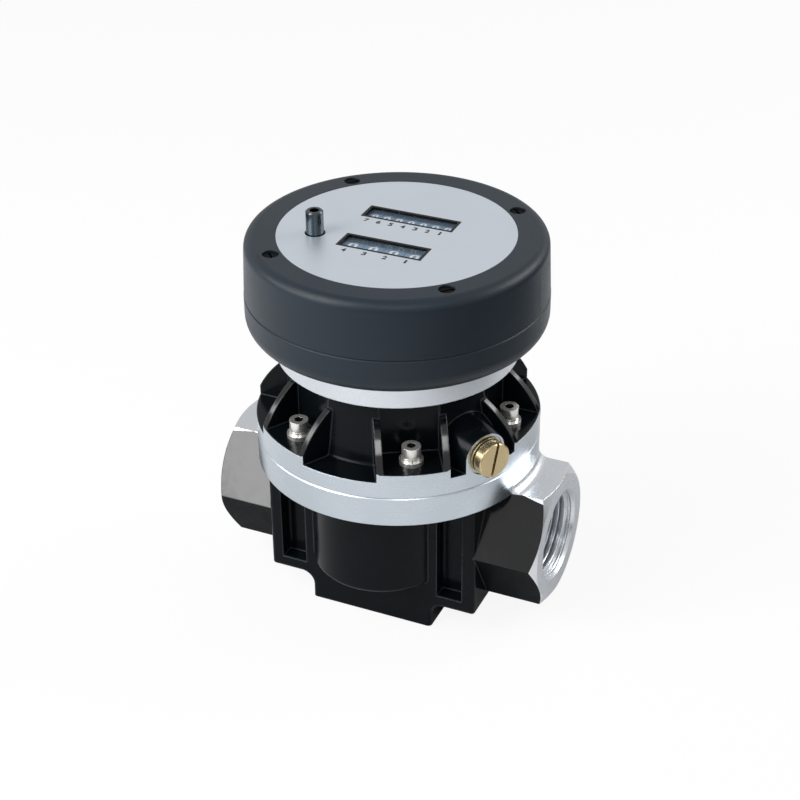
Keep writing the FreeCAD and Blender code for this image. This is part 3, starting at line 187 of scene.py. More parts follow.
@dataclass(frozen=True)
class Finish(Surface):
    """A finish with a colour, a gloss and a fine relief.

    Attributes:
        colour: main colour, sRGB hex.
        drift: colour that broad patches lean to, sRGB hex.
        roughness: least and most roughness over the surface.
        grain_mm: spacing of the relief.
        relief_mm: height of the relief.
        metallic: 1 for a bare metal, less where it also scatters light as a paint does.
        specular: specular level, 0.5 for an index of refraction of 1.5.
        edge_mm: radius of the soft edges, 0 for none.
        worn: paler colour of the soft edges, partly wear and partly a painted highlight, sRGB hex, or
            nothing.
        patch_mm: width of the broad patches.
        lay: which way the relief runs.
    """

    colour: str
    drift: str
    roughness: tuple[float, float]
    grain_mm: float
    relief_mm: float
    metallic: float = 0.0
    specular: float = 0.5
    edge_mm: float = 0.0
    worn: str = ""
    patch_mm: float = 14.0
    lay: Lay = Lay.GRAIN

    def place(self, tree: Tree, point: Socket) -> Socket:
        """Works out the place that the relief reads, by the lay of the marks.

        A turned face reads one number, the distance from the lathe's axis plus the place along it. It steps
        over a flat face from ring to ring and along a cylinder from groove to groove.

        Args:
            tree: the material's nodes.
            point: place on the object.

        Returns:
            The place in metres.
        """
        if self.lay is Lay.GRAIN:
            return point
        if self.lay is Lay.ROLLED:
            squeeze = (1 / ROLL_STRETCH, 1.0, 1.0)
            return add(tree, "ShaderNodeMapping", {"Vector": point, "Scale": squeeze}).outputs["Vector"]
        upright = self.lay is Lay.UPRIGHT
        flat = (1.0, 1.0, 0.0) if upright else (0.0, 1.0, 1.0)
        axis = (0.0, 0.0, 0.0) if upright else (0.0, 0.0, PORT_AXIS_Z)
        away = add(tree, "ShaderNodeVectorMath", {0: point, 1: axis}, operation="SUBTRACT")
        arm = add(tree, "ShaderNodeVectorMath", {0: away.outputs[0], 1: flat}, operation="MULTIPLY")
        reach = add(tree, "ShaderNodeVectorMath", {0: arm.outputs[0]}, operation="LENGTH")
        parts = add(tree, "ShaderNodeSeparateXYZ", {0: point})
        along = parts.outputs["Z" if upright else "X"]
        length = add(tree, "ShaderNodeMath", {0: along}, operation="ABSOLUTE")
        ring = add(tree, "ShaderNodeMath", {
            0: reach.outputs["Value"], 1: length.outputs[0]}, operation="ADD")
        return add(tree, "ShaderNodeCombineXYZ", {"X": ring.outputs[0]}).outputs[0]

    def rubbed(self, tree: Tree, colour: Socket, soft: Socket) -> Socket:
        """Takes the colour over to a paler one at the edges, where the soft normal leaves the flat one:
        partly wear, partly a painted highlight.

        Args:
            tree: the material's nodes.
            colour: colour of the plain surface.
            soft: normal with the edges rounded.

        Returns:
            The colour with its paler edges: partly wear, partly a painted highlight.
        """
        flat = add(tree, "ShaderNodeNewGeometry").outputs["Normal"]
        same = add(tree, "ShaderNodeVectorMath", {0: soft, 1: flat}, operation="DOT_PRODUCT")
        edge_wear_and_highlight_mask = add(tree, "ShaderNodeMapRange", {
            "Value": same.outputs["Value"], "From Min": EDGE_WEAR_AND_HIGHLIGHT_COSINES[0], "From Max": EDGE_WEAR_AND_HIGHLIGHT_COSINES[1],
            "To Min": 0.0, "To Max": EDGE_WEAR_AND_HIGHLIGHT_SHARE})
        worn = add(tree, "ShaderNodeMix", {
            "Factor": edge_wear_and_highlight_mask.outputs[0], "A": colour, "B": linear(self.worn)}, data_type="RGBA")
        return worn.outputs["Result"]

    def shader(self, tree: Tree) -> bpy.types.Node:
        """Adds the nodes of the finish.

        Fine noise at the grain's spacing is the relief, broad noise leans the colour, and the product of
        both sets the gloss.

        Args:
            tree: the material's nodes.

        Returns:
            The shader.
        """
        point = add(tree, "ShaderNodeTexCoord").outputs["Object"]
        fine = add(tree, "ShaderNodeTexNoise", {
            "Vector": self.place(tree, point), "Scale": 1 / (self.grain_mm * MM), "Detail": FINE_DETAIL})
        broad = add(tree, "ShaderNodeTexNoise", {
            "Vector": point, "Scale": 1 / (self.patch_mm * MM), "Detail": BROAD_DETAIL})
        both = add(tree, "ShaderNodeMath", {0: fine.outputs[0], 1: broad.outputs[0]}, operation="MULTIPLY")
        gloss = add(tree, "ShaderNodeMapRange", {
            "Value": both.outputs[0], "From Min": GLOSS_NOISE[0], "From Max": GLOSS_NOISE[1],
            "To Min": self.roughness[0], "To Max": self.roughness[1]})
        tint = add(tree, "ShaderNodeMix", {
            "Factor": broad.outputs[0], "A": linear(self.colour), "B": linear(self.drift)}, data_type="RGBA")
        colour = tint.outputs["Result"]
        relief = {"Height": fine.outputs[0], "Strength": 1.0, "Distance": self.relief_mm * MM}
        if self.edge_mm:
            edge = add(tree, "ShaderNodeBevel", {"Radius": self.edge_mm * MM}, samples=EDGE_SAMPLES)
            relief["Normal"] = edge.outputs[0]
            # Paler edges: partly wear, partly a painted highlight
            if self.worn:
                colour = self.rubbed(tree, colour, edge.outputs[0])
        bump = add(tree, "ShaderNodeBump", relief)
        return add(tree, "ShaderNodeBsdfPrincipled", {
            "Base Color": colour, "Roughness": gloss.outputs[0], "Metallic": self.metallic,
            "Specular IOR Level": self.specular, "Normal": bump.outputs[0]})


@dataclass(frozen=True)
class ClearPlastic(Surface):
    """A polished clear plastic: nearly all of it is seen through, with a sharp reflection of the lights.

    Attributes:
        tint: colour of the little that isn't seen through, sRGB hex; here a painted blue-grey reflection of
            the surroundings.
        alpha: how much of the tint covers what is behind.
        roughness: roughness of the polished face, and of its worst wipe marks.
        wipe_mm: spacing of the wipe marks.
        ior: index of refraction.
    """

    tint: str
    alpha: float
    roughness: tuple[float, float]
    wipe_mm: float
    ior: float

    def shader(self, tree: Tree) -> bpy.types.Node:
        """Adds the nodes of the plastic, with faint wipe marks in its gloss.

        Args:
            tree: the material's nodes.

        Returns:
            The shader.
        """
        point = add(tree, "ShaderNodeTexCoord").outputs["Object"]
        wipe = add(tree, "ShaderNodeTexNoise", {
            "Vector": point, "Scale": 1 / (self.wipe_mm * MM), "Detail": WIPE_DETAIL})
        gloss = add(tree, "ShaderNodeMapRange", {
            "Value": wipe.outputs[0], "To Min": self.roughness[0], "To Max": self.roughness[1]})
        return add(tree, "ShaderNodeBsdfPrincipled", {
            "Base Color": linear(self.tint), "Roughness": gloss.outputs[0], "IOR": self.ior,
            "Alpha": self.alpha})


@dataclass(frozen=True)
class FloorPaint(Surface):
    """A matt floor paint, nearly white to the camera, with a painted dark reflection on the right, which
    only mirrors see.

    Attributes:
        colour: colour of the paint, sRGB hex.
        card: colour of the painted dark reflection, sRGB hex.
        card_edge: places along X where the painted dark reflection begins and is full, in metres.
        lift: share of plain white that the camera sees, which leaves a light shadow.
    """

    colour: str
    card: str
    card_edge: tuple[float, float]
    lift: float

    def shader(self, tree: Tree) -> bpy.types.Node:
        """Mixes the paint with a painted dark reflection for mirrors, and both with white for the camera.

        Args:
            tree: the material's nodes.

        Returns:
            The shader.
        """
        ray = add(tree, "ShaderNodeLightPath").outputs
        lift = add(tree, "ShaderNodeMath", {0: ray["Is Camera Ray"], 1: self.lift}, operation="MULTIPLY")
        point = add(tree, "ShaderNodeTexCoord").outputs["Object"]
        right = add(tree, "ShaderNodeSeparateXYZ", {0: point}).outputs["X"]
        # Painted dark reflection on the right, for glossy rays only
        card = add(tree, "ShaderNodeMapRange", {
            "Value": right, "From Min": self.card_edge[0], "From Max": self.card_edge[1],
            "To Max": ray["Is Glossy Ray"]}, interpolation_type="SMOOTHSTEP")
        shade = add(tree, "ShaderNodeMix", {
            "Factor": card.outputs[0], "A": linear(self.colour), "B": linear(self.card)}, data_type="RGBA")
        matt = add(tree, "ShaderNodeBsdfDiffuse", {"Color": shade.outputs["Result"]})
        white = add(tree, "ShaderNodeEmission", {"Color": WHITE, "Strength": 1.0})
        return add(tree, "ShaderNodeMixShader", {
            0: lift.outputs[0], 1: matt.outputs[0], 2: white.outputs[0]})


# Stoved enamel on a sand casting: black gloss that shows the casting's slow waves, with paler edges that are
# partly thinned enamel and partly a painted highlight
ENAMEL = Finish(
    "stoved_black_enamel", "#06090C", "#0A0F13", (0.14, 0.26), grain_mm=1.8, relief_mm=0.02,
    specular=0.10, edge_mm=0.9, worn="#4A5054")
# The same enamel over milled flats and rib tops: smoother, and with a stronger reflection than the rest, a
# painted highlight
SMOOTH_HIGHLIT_ENAMEL = Finish(
    "enamel_on_milled_flats_painted_highlight", "#08090B", "#0C0D10", (0.07, 0.15), grain_mm=3.0, relief_mm=0.006, edge_mm=0.6)
# The same enamel on the lower flats: rougher, and with a much weaker reflection than the rest, painted shade
DULL_SHADED_ENAMEL = Finish(
    "dull_enamel_painted_shade", "#07090B", "#0B0E11", (0.34, 0.46), grain_mm=2.2, relief_mm=0.012,
    specular=0.02, edge_mm=0.6)
# Turned aluminium, left bare: pale satin with fine rings, drawn coarser than the cut so that they show
TURNED = Finish(
    "turned_aluminium", "#C4CBD2", "#BAC2C9", (0.24, 0.34), grain_mm=0.5, relief_mm=0.0015,
    metallic=1.0, edge_mm=0.35, lay=Lay.UPRIGHT)
# The collar and the vent's seat: a paler copy of the turned aluminium, painted light
LIT_TURNED = replace(TURNED, name="turned_aluminium_painted_light", colour="#D6DADF", drift="#CDD2D8")
# Faced and bored aluminium of the ports, with its rings about the pipe's axis: also a paler copy, painted
# light
LIT_FACED = replace(TURNED, name="faced_aluminium_painted_light", colour="#D7DADE", drift="#CDD1D6", lay=Lay.PORT)
# Spark eroded glass filled nylon: charcoal with an even dull grain
MOULDED = Finish(
    "moulded_charcoal_nylon", "#161F27", "#1B252E", (0.36, 0.50), grain_mm=0.7, relief_mm=0.030,
    specular=0.26, edge_mm=0.5, patch_mm=30.0)
# Satin anodised sheet: flat pale silver with a faint roll lay
DIAL_SHEET = Finish(
    "satin_anodised_sheet", "#C5CDD6", "#CAD1DA", (0.38, 0.44), grain_mm=0.4, relief_mm=0.002,
    metallic=0.75, lay=Lay.ROLLED)
# Turned stainless steel of the screws: bright and a little warm
STAINLESS = Finish(
    "bright_stainless_steel", "#EFEDE9", "#E4E2DD", (0.24, 0.34), grain_mm=0.6, relief_mm=0.0008,
    metallic=0.85, edge_mm=0.2)
# Painted shade in the sockets of the screws: nearly black, with a dull shine
SOCKET_SHADE = Finish(
    "painted_socket_shade", "#1A1A1A", "#242322", (0.40, 0.55), grain_mm=0.4, relief_mm=0.003, metallic=0.5)
# Turned brass: pale gold, a little dulled by handling
BRASS = Finish(
    "turned_brass", "#CEBC96", "#C0AC82", (0.22, 0.36), grain_mm=0.35, relief_mm=0.003,
    metallic=1.0, edge_mm=0.25)
# Nitrile rubber: dull black
RUBBER = Finish("nitrile_rubber", "#141414", "#1C1B1A", (0.55, 0.75), grain_mm=0.5, relief_mm=0.02)
# Moulded plastic of the window frames: black with little gloss
FRAME_BLACK = Finish(
    "black_moulded_plastic", "#060708", "#0A0B0C", (0.35, 0.50), grain_mm=0.6, relief_mm=0.01, specular=0.2)
# Blackened steel of the sunk screws, black with nearly no gloss: partly the steel's own black, partly
# painted shade of their deep recesses
BLACK_OXIDE_AND_RECESS_SHADE = Finish(
    "blackened_steel_and_recess_shade", "#040405", "#08080A", (0.45, 0.60), grain_mm=0.5, relief_mm=0.006, specular=0.06)
# Acetal of the number wheels: smooth slate blue
SLATE = Finish("slate_acetal", "#7890A6", "#70889D", (0.40, 0.48), grain_mm=2.0, relief_mm=0.001)
# Printing ink of the digits on the wheels: flat white
WHITE_INK = Finish("white_printing_ink", "#FAFBFC", "#F2F5F7", (0.45, 0.60), grain_mm=0.3, relief_mm=0.004)
# Printing ink of the place numbers on the dial: flat black
BLACK_INK = Finish(
    "black_printing_ink", "#0C0D0E", "#141516", (0.45, 0.60), grain_mm=0.3, relief_mm=0.002, specular=0.3)
# Black nickel on steel: a dark grey mirror with a cool cast
BLACK_NICKEL = Finish(
    "black_nickel_plate", "#50575B", "#454B4F", (0.14, 0.26), grain_mm=0.5, relief_mm=0.003,
    metallic=1.0, edge_mm=0.25)
# Zinc plated sheet, shafts and springs: grey shine with a faint blue pass
ZINC = Finish(
    "zinc_plated_steel", "#B9BDC2", "#A7ADB6", (0.22, 0.40), grain_mm=0.8, relief_mm=0.004, metallic=1.0)
# Natural acetal of the gears: milky white
ACETAL = Finish("natural_acetal", "#DEDACD", "#D2CDBE", (0.32, 0.44), grain_mm=0.6, relief_mm=0.006)
# Carbon filled resin of the rotors: black with a grey bloom
ROTOR = Finish("carbon_filled_resin", "#202224", "#2A2C2E", (0.38, 0.54), grain_mm=0.4, relief_mm=0.012)
# Sintered bronze of the bushes: dull brown with fine pores
BRONZE = Finish(
    "sintered_bronze", "#A0764B", "#8A6440", (0.36, 0.52), grain_mm=0.3, relief_mm=0.01, metallic=1.0)
# Nickel on the magnets: a smooth grey mirror
MAGNET = Finish(
    "nickelled_magnet", "#8E8F90", "#7B7C7E", (0.18, 0.30), grain_mm=0.5, relief_mm=0.003, metallic=1.0)
# Polished acrylic of the windows: clear, with a thin blue-grey veil that is a painted reflection of the
# surroundings
ACRYLIC = ClearPlastic("clear_acrylic", "#7E93A9", alpha=0.17, roughness=(0.05, 0.10), wipe_mm=3.0, ior=1.49)
# Matt paint of the studio's floor: pale grey, with a painted dark reflection on the right that only mirrors
# see
PALE_FLOOR = FloorPaint("pale_floor", "#E4E5E6", card="#3A3C3E", card_edge=(0.16, 0.30), lift=0.90)


def new_piece(name: str, points: np.ndarray, faces: list[list[int]]) -> bpy.types.Object:
    """Makes a mesh object at the origin.

    Args:
        name: name of the piece.
        points: places in metres.
        faces: corners of each face.

    Returns:
        The piece.
    """
    mesh = bpy.data.meshes.new(name)
    mesh.from_pydata(points, [], faces)
    mesh.update()
    piece = bpy.data.objects.new(name, mesh)
    bpy.context.scene.collection.objects.link(piece)
    return piece


def closed_grid(name: str, points: np.ndarray) -> bpy.types.Object:
    """Makes a smooth piece from a grid of points that closes on itself both ways, like a ring.

    Args:
        name: name of the piece.
        points: places in metres, as rows by columns by three.

    Returns:
        The piece.
    """
    rows, columns = points.shape[:2]
    index = np.arange(rows * columns).reshape(rows, columns)
    right = np.roll(index, -1, axis=1)
    faces = np.stack([index, right, np.roll(right, -1, axis=0), np.roll(index, -1, axis=0)], axis=-1)
    piece = new_piece(name, points.reshape(-1, 3), faces.reshape(-1, 4).tolist())
    piece.data.shade_smooth()
    return piece


def solid_piece(name: str, parts: list[Solid]) -> bpy.types.Object:
    """Makes one piece from several closed solids.

    Args:
        name: name of the piece.
        parts: the solids.

    Returns:
        The piece.
    """
    firsts = np.cumsum([0] + [len(points) for points, _ in parts])
    faces = [[first + corner for corner in face] for first, (_, own) in zip(firsts, parts) for face in own]
    return new_piece(name, np.concatenate([points for points, _ in parts]) * MM, faces)


def read_points(mesh: bpy.types.Mesh) -> np.ndarray:
    """Reads the points of a mesh.

    Args:
        mesh: the mesh.

    Returns:
        One row of three for each point.
    """
    points = np.empty(len(mesh.vertices) * 3)
    mesh.vertices.foreach_get("co", points)
    return points.reshape(-1, 3)


def read_faces(node: str) -> tuple[np.ndarray, np.ndarray]:
    """Reads the middle of each face of a solid in mm, and its direction.

    Args:
        node: name of the solid.

    Returns:
        The middles and the directions, one row for each face.
    """
    polygons = frame["nodes"][node].data.polygons
    middles = np.empty(len(polygons) * 3)
    ways = np.empty(len(polygons) * 3)
    polygons.foreach_get("center", middles)
    polygons.foreach_get("normal", ways)
    return middles.reshape(-1, 3) / MM, ways.reshape(-1, 3)


def from_spoke(middle: np.ndarray, spokes: int) -> tuple[np.ndarray, np.ndarray]:
    """Measures places from the nearest of some even spokes round the upright axis, the first on X.

    Args:
        middle: places in mm.
        spokes: number of spokes.

    Returns:
        How far out along its spoke each place lies, and how far beside it.
    """
    step = math.tau / spokes
    reach = np.hypot(middle[:, 0], middle[:, 1])
    turn = np.mod(np.arctan2(middle[:, 1], middle[:, 0]) + step / 2, step) - step / 2
    return reach * np.cos(turn), reach * np.sin(turn)


def paint(piece: bpy.types.Object, *finishes: Surface) -> None:
    """Puts finishes into a piece's material slots.

    Args:
        piece: the piece.
        finishes: the finishes, in the order of the slots.
    """
    piece.data.materials.clear()
    for finish in finishes:
        piece.data.materials.append(finish.material())


def coat(node: str, base: Surface, coats: list[tuple[Surface, np.ndarray]]) -> None:
    """Gives a solid one finish all over and others on some of its faces, the later over the earlier.

    Args:
        node: name of the solid.
        base: finish of all that no other covers.
        coats: each further finish, with true for each face that it covers.
    """
    piece = frame["nodes"][node]
    paint(piece, base, *(finish for finish, _ in coats))
    index = np.zeros(len(piece.data.polygons), np.int32)
    for slot, (_, covered) in enumerate(coats, 1):
        index[covered] = slot
    piece.data.polygons.foreach_set("material_index", index)
    piece.data.update()


@dataclass
class SubAssembly:
    """Solids that belong together in the meter, and the finish of each.

    Attributes:
        finishes: name of each solid's node and its finish.
    """

    finishes: dict[str, Surface]

    def build(self) -> list[bpy.types.Object]:
        """Adds the pieces that the solids lack, and returns them."""
        return []

    def dress(self) -> None:
        """Gives each solid its finish."""
        for node, finish in self.finishes.items():
            paint(frame["nodes"][node], finish)


@dataclass
class Castings(SubAssembly):
    """The cast body and cover: black enamel, with the machined faces bare.

    A face's direction is told by its cosine to some other direction, from 1 along it to 0 square to it.

    Attributes:
        flange_r: radius of the flange and of the cover's rim, in mm.
        flange_low: underside of the flange, in mm.
        rim_top: highest bare place on the cover's rim, in mm.
        collar_r: radius of the collar under the register, in mm.
        collar_low: lower edge of the collar, in mm.
        port_end: place of the port ends along X, in mm.
        port_root: place along X where the port hexagons leave the pads, in mm.
        port_flat: from the port's axis to the hexagon's flats, in mm.
        port_chamfer: length of the turned corners at a port's end, in mm.
        bore_r: largest radius of a port's bore, in mm.
        fillet: radius of the hollow round between the flange and the top flats, in mm.
        vent_azimuth: direction of the vent boss from the middle, in degrees from X.
        vent_seat: place of the vent's spot face along that direction, in mm.
        rib_span: distance of a rib's two sides from the middle of its screw bay, in mm.
        near: how far a turned or faced place may lie from these, in mm.
        close: how far a flat or a rib's side may lie from these, in mm.
        side_facing: least cosine of a turned side to straight outwards.
        edge_facing: the same for the chamfers at the seam and for the collar.
        seat_facing: least cosine of the vent's spot face to the vent's direction.
        end_facing: least cosine of a port's end and of its turned corners to X.
        top_facing: least cosine of the top flats and the hollow rounds to Z.
        cap_facing: least cosine of the hollow rounds' end caps to Y.
        rib_facing: least and most cosine of a rib's sloping top to Z.
    """

    flange_r: float = 54.0
    flange_low: float = 60.6
    rim_top: float = 94.0
    collar_r: float = 45.5
    collar_low: float = 104.4
    port_end: float = 66.5
    port_root: float = 43.0
    port_flat: float = 24.0
    port_chamfer: float = 2.2
    bore_r: float = 18.4
    fillet: float = 4.0
    vent_azimuth: float = -30.0
    vent_seat: float = 53.2
    rib_span: tuple[float, float] = (10.8, 13.3)
    near: float = 0.7
    close: float = 0.1
    side_facing: float = 0.95
    edge_facing: float = 0.5
    seat_facing: float = 0.9
    end_facing: float = 0.3
    top_facing: float = 0.1
    cap_facing: float = 0.99
    rib_facing: tuple[float, float] = (0.3, 0.95)

    def turned(self, middle: np.ndarray, way: np.ndarray) -> tuple[np.ndarray, np.ndarray]:
        """Tells which faces were turned: the flange's side, and the collar with the vent's spot face.

        Args:
            middle: middle of each face in mm.
            way: direction of each face.

        Returns:
            True for each face of the flange's side, and true for each face of the collar and the vent's
            seat, which take a paler copy, painted light.
        """
        reach = np.hypot(middle[:, 0], middle[:, 1])
        level = middle[:, 2]
        outward = (way[:, :2] * middle[:, :2]).sum(axis=1) / reach
        chamfer = (outward > self.edge_facing) & (np.abs(level - SEAM) < self.near)
        side = (outward > self.side_facing) | chamfer
        side &= (level > self.flange_low) & (level < self.rim_top)
        side &= np.abs(reach - self.flange_r) < self.near
        collar = (outward > self.edge_facing) & (level > self.collar_low)
        collar &= np.abs(reach - self.collar_r) < self.near
        turn = math.radians(self.vent_azimuth)
        vent = np.array([math.cos(turn), math.sin(turn), 0.0])
        seat = (np.abs(middle @ vent - self.vent_seat) < self.near / 2) & (way @ vent > self.seat_facing)
        return side, collar | seat

    def faced(self, middle: np.ndarray, way: np.ndarray) -> np.ndarray:
        """Tells which faces of the ports are bare: end, turned corners, bore, top flat and its hollow round.

        Args:
            middle: middle of each face in mm.
            way: direction of each face.

        Returns:
            True for each such face.
        """
        along = np.abs(middle[:, 0])
        rise = middle[:, 2] - PORT_AXIS_Z / MM
        reach = np.hypot(middle[:, 0], middle[:, 1])
        end = (along > self.port_end - self.port_chamfer) & (np.abs(way[:, 0]) > self.end_facing)
        bore = (np.hypot(middle[:, 1], rise) < self.bore_r) & (along > self.port_end / 2)
        top = (rise > self.port_flat - self.near) & (rise < self.port_flat + self.fillet)
        top &= (along > self.port_root) & (reach > self.flange_r - self.near)
        top &= (way[:, 2] > self.top_facing) | (np.abs(way[:, 1]) > self.cap_facing)
        return end | bore | top

    def enamelled(self, middle: np.ndarray, way: np.ndarray) -> tuple[np.ndarray, np.ndarray]:
        """Tells which enamelled faces take the glossier copy with a painted highlight, the upper port flats
        and rib tops, and which take the duller copy with painted shade, the lower flats.

        A flat lies at one distance from the port's axis, measured along its own direction, and the lower
        flats take the painted shade. A rib's top slopes, and lies between the rib's two sides once the face
        is turned back to the first screw bay.

        Args:
            middle: middle of each face in mm.
            way: direction of each face.

        Returns:
            True for each face of the glossier copy with a painted highlight, and true for each face of the
            duller copy with painted shade.
        """
        rise = middle[:, 2] - PORT_AXIS_Z / MM
        off = way[:, 1] * middle[:, 1] + way[:, 2] * rise
        flat = (np.abs(off - self.port_flat) < self.close) & (np.abs(middle[:, 0]) > self.port_root)
        aside = np.abs(from_spoke(middle, COVER_SCREWS)[1])
        rib = (aside > self.rib_span[0] - self.close) & (aside < self.rib_span[1] + self.close)
        rib &= (way[:, 2] > self.rib_facing[0]) & (way[:, 2] < self.rib_facing[1])
        rib &= middle[:, 2] > self.flange_low
        return (flat & (way[:, 2] > 0)) | rib, flat & (way[:, 2] < 0)

    def dress(self) -> None:
        """Paints both castings and leaves their turned and faced places bare."""
        for node, enamel in self.finishes.items():
            middle, way = read_faces(node)
            # Glossier copy on upper flats and rib tops is a painted highlight; duller copy on the lower
            # flats is painted shade
            smooth, dull = self.enamelled(middle, way)
            # The collar and the vent's seat take a paler copy of the aluminium, painted light; the port
            # faces too
            side, fine = self.turned(middle, way)
            bare = self.faced(middle, way)
            coat(node, enamel, [
                (SMOOTH_HIGHLIT_ENAMEL, smooth), (DULL_SHADED_ENAMEL, dull),
                (LIT_TURNED, fine), (TURNED, side), (LIT_FACED, bare)])


@dataclass
class CoverFittings(SubAssembly):
    """The cover's seal, vent plug and socket screws, with painted shade in the sockets of their bright
    heads.

    Attributes:
        screws: node of the screws.
        circle_r: radius of the circle that they stand on, in mm.
        socket_r: radius that holds a socket, in mm.
        socket_deep: depth that holds a socket, in mm.
    """

    screws: str = "cover_screws"
    circle_r: float = 45.0
    socket_r: float = 1.8
    socket_deep: float = 2.6

    def dress(self) -> None:
        """Gives each solid its finish, and paints shade on the faces near a screw's own axis, in the
        sockets.
        """
        super().dress()
        middle, _ = read_faces(self.screws)
        off, aside = from_spoke(middle, COVER_SCREWS)
        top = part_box(self.screws)[1][2] / MM
        # Painted shade on the faces inside each socket
        socket = np.hypot(off - self.circle_r, aside) < self.socket_r
        socket &= middle[:, 2] > top - self.socket_deep
        coat(self.screws, self.finishes[self.screws], [(SOCKET_SHADE, socket)])


@dataclass
class PipeThread:
    """The thread in one port: a closed sleeve just inside the plain bore.

    Attributes:
        name: name of the piece.
        port: the port's mount, which gives the bore and its place.
        pitch: from one groove to the next, in mm.
        depth: height of the thread, in mm.
        fit: how far the sleeve's outer wall stays inside the bore, in mm.
        wall: least wall of the sleeve, in mm.
        run_out: length over which the thread fades at each end, in mm.
        around: points around a turn.
        per_turn: points along one pitch.
    """

    name: str
    port: dict
    pitch: float = 2.309
    depth: float = 1.479
    fit: float = 0.02
    wall: float = 0.03
    run_out: float = 1.6
    around: int = 120
    per_turn: int = 14

    def build(self) -> bpy.types.Object:
        """Makes the sleeve.

        Its inner radius at angle a and depth s is the bore less the thread's height times a rounded vee of
        the fraction of s / pitch - a / turn. The height fades to nothing at both ends. Two more points at
        each angle lie at both ends of the plain outer wall, so the sleeve is closed.

        Returns:
            The piece, riding on the housing.
        """
        bore = self.port["dims"]["r_mm"]
        length = self.port["dims"]["length_mm"]
        centre = np.array(self.port["pos_m"]) / MM
        hand = math.copysign(1.0, self.port["axis"][0])
        angle = np.linspace(0, math.tau, self.around, endpoint=False)
        steps = int(length / self.pitch * self.per_turn)
        run = np.linspace(-length / 2, length / 2, steps)
        turn, along = np.meshgrid(angle, run, indexing="ij")
        phase = np.mod(along / self.pitch - turn / math.tau, 1.0)
        vee = np.abs(2 * phase - 1)
        ridge = vee * vee * (3 - 2 * vee)
        fade = np.clip((length / 2 - np.abs(along)) / self.run_out, 0, 1)
        inner = bore - self.fit - self.wall - self.depth * ridge * fade
        outer = np.full((self.around, 2), bore - self.fit)
        radius = np.concatenate([inner, outer], axis=1)
        place = np.concatenate([along, np.tile([length / 2, -length / 2], (self.around, 1))], axis=1)
        full = angle[:, None]
        points = np.stack([
            centre[0] + hand * place,
            centre[1] + radius * np.cos(full) * hand,
            centre[2] + radius * np.sin(full)], axis=-1)
        piece = closed_grid(self.name, points * MM)
        paint(piece, LIT_FACED)
        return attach(piece, "housing")


@dataclass(frozen=True)
class DigitStamp:
    """Plain type that gives the digits as flat solids.

    Attributes:
        half: half the thickness that a digit is drawn with, at a type size of one.
        bold: how much fatter its strokes are drawn, at that size.
        steps: points along each curved stretch.
        merge: distance under which two points are one, at that size.
        narrow: width of a one, as a share of that of the other digits.
    """

    half: float = 0.1
    bold: float = 0.03
    steps: int = 6
    merge: float = 1e-5
    narrow: float = 0.45

    def drawn(self, digit: int) -> bpy.types.Mesh:
        """Draws a digit at the type size of one.

        Args:
            digit: 0 to 9.

        Returns:
            Its mesh.
        """
        curve = bpy.data.curves.new(f"digit_{digit}", "FONT")
        curve.body = str(digit)
        curve.extrude = self.half
        curve.offset = self.bold
        curve.resolution_u = self.steps
        text = bpy.data.objects.new(curve.name, curve)
        bpy.context.scene.collection.objects.link(text)
        graph = bpy.context.evaluated_depsgraph_get()
        mesh = bpy.data.meshes.new_from_object(text.evaluated_get(graph))
        bpy.data.objects.remove(text)
        bpy.data.curves.remove(curve)
        return mesh

    def solid(self, digit: int, size: tuple[float, float, float], slices: int = 0) -> Solid:
        """Makes a flat solid digit, cut across so that it can bend.

        Args:
            digit: 0 to 9.
            size: width, height and thickness in mm, before a one is narrowed.
            slices: number of cuts across it.

        Returns:
            The digit about its own middle.
        """
        mesh = self.drawn(digit)
        heights = read_points(mesh)[:, 1]
        cut = bmesh.new()
        cut.from_mesh(mesh)
        bmesh.ops.remove_doubles(cut, verts=cut.verts, dist=self.merge)
        for level in np.linspace(heights.min(), heights.max(), slices + 2)[1:-1]:
            everything = cut.verts[:] + cut.edges[:] + cut.faces[:]
            bmesh.ops.bisect_plane(cut, geom=everything, plane_co=(0, level, 0), plane_no=(0, 1, 0))
        cut.to_mesh(mesh)
        cut.free()
        points = read_points(mesh)
        faces = [list(face.vertices) for face in mesh.polygons]
        bpy.data.meshes.remove(mesh)
        low, high = points.min(axis=0), points.max(axis=0)
        share = self.narrow if digit == 1 else 1.0
        return (points - (low + high) / 2) / (high - low) * np.array(size) * (share, 1, 1), faces


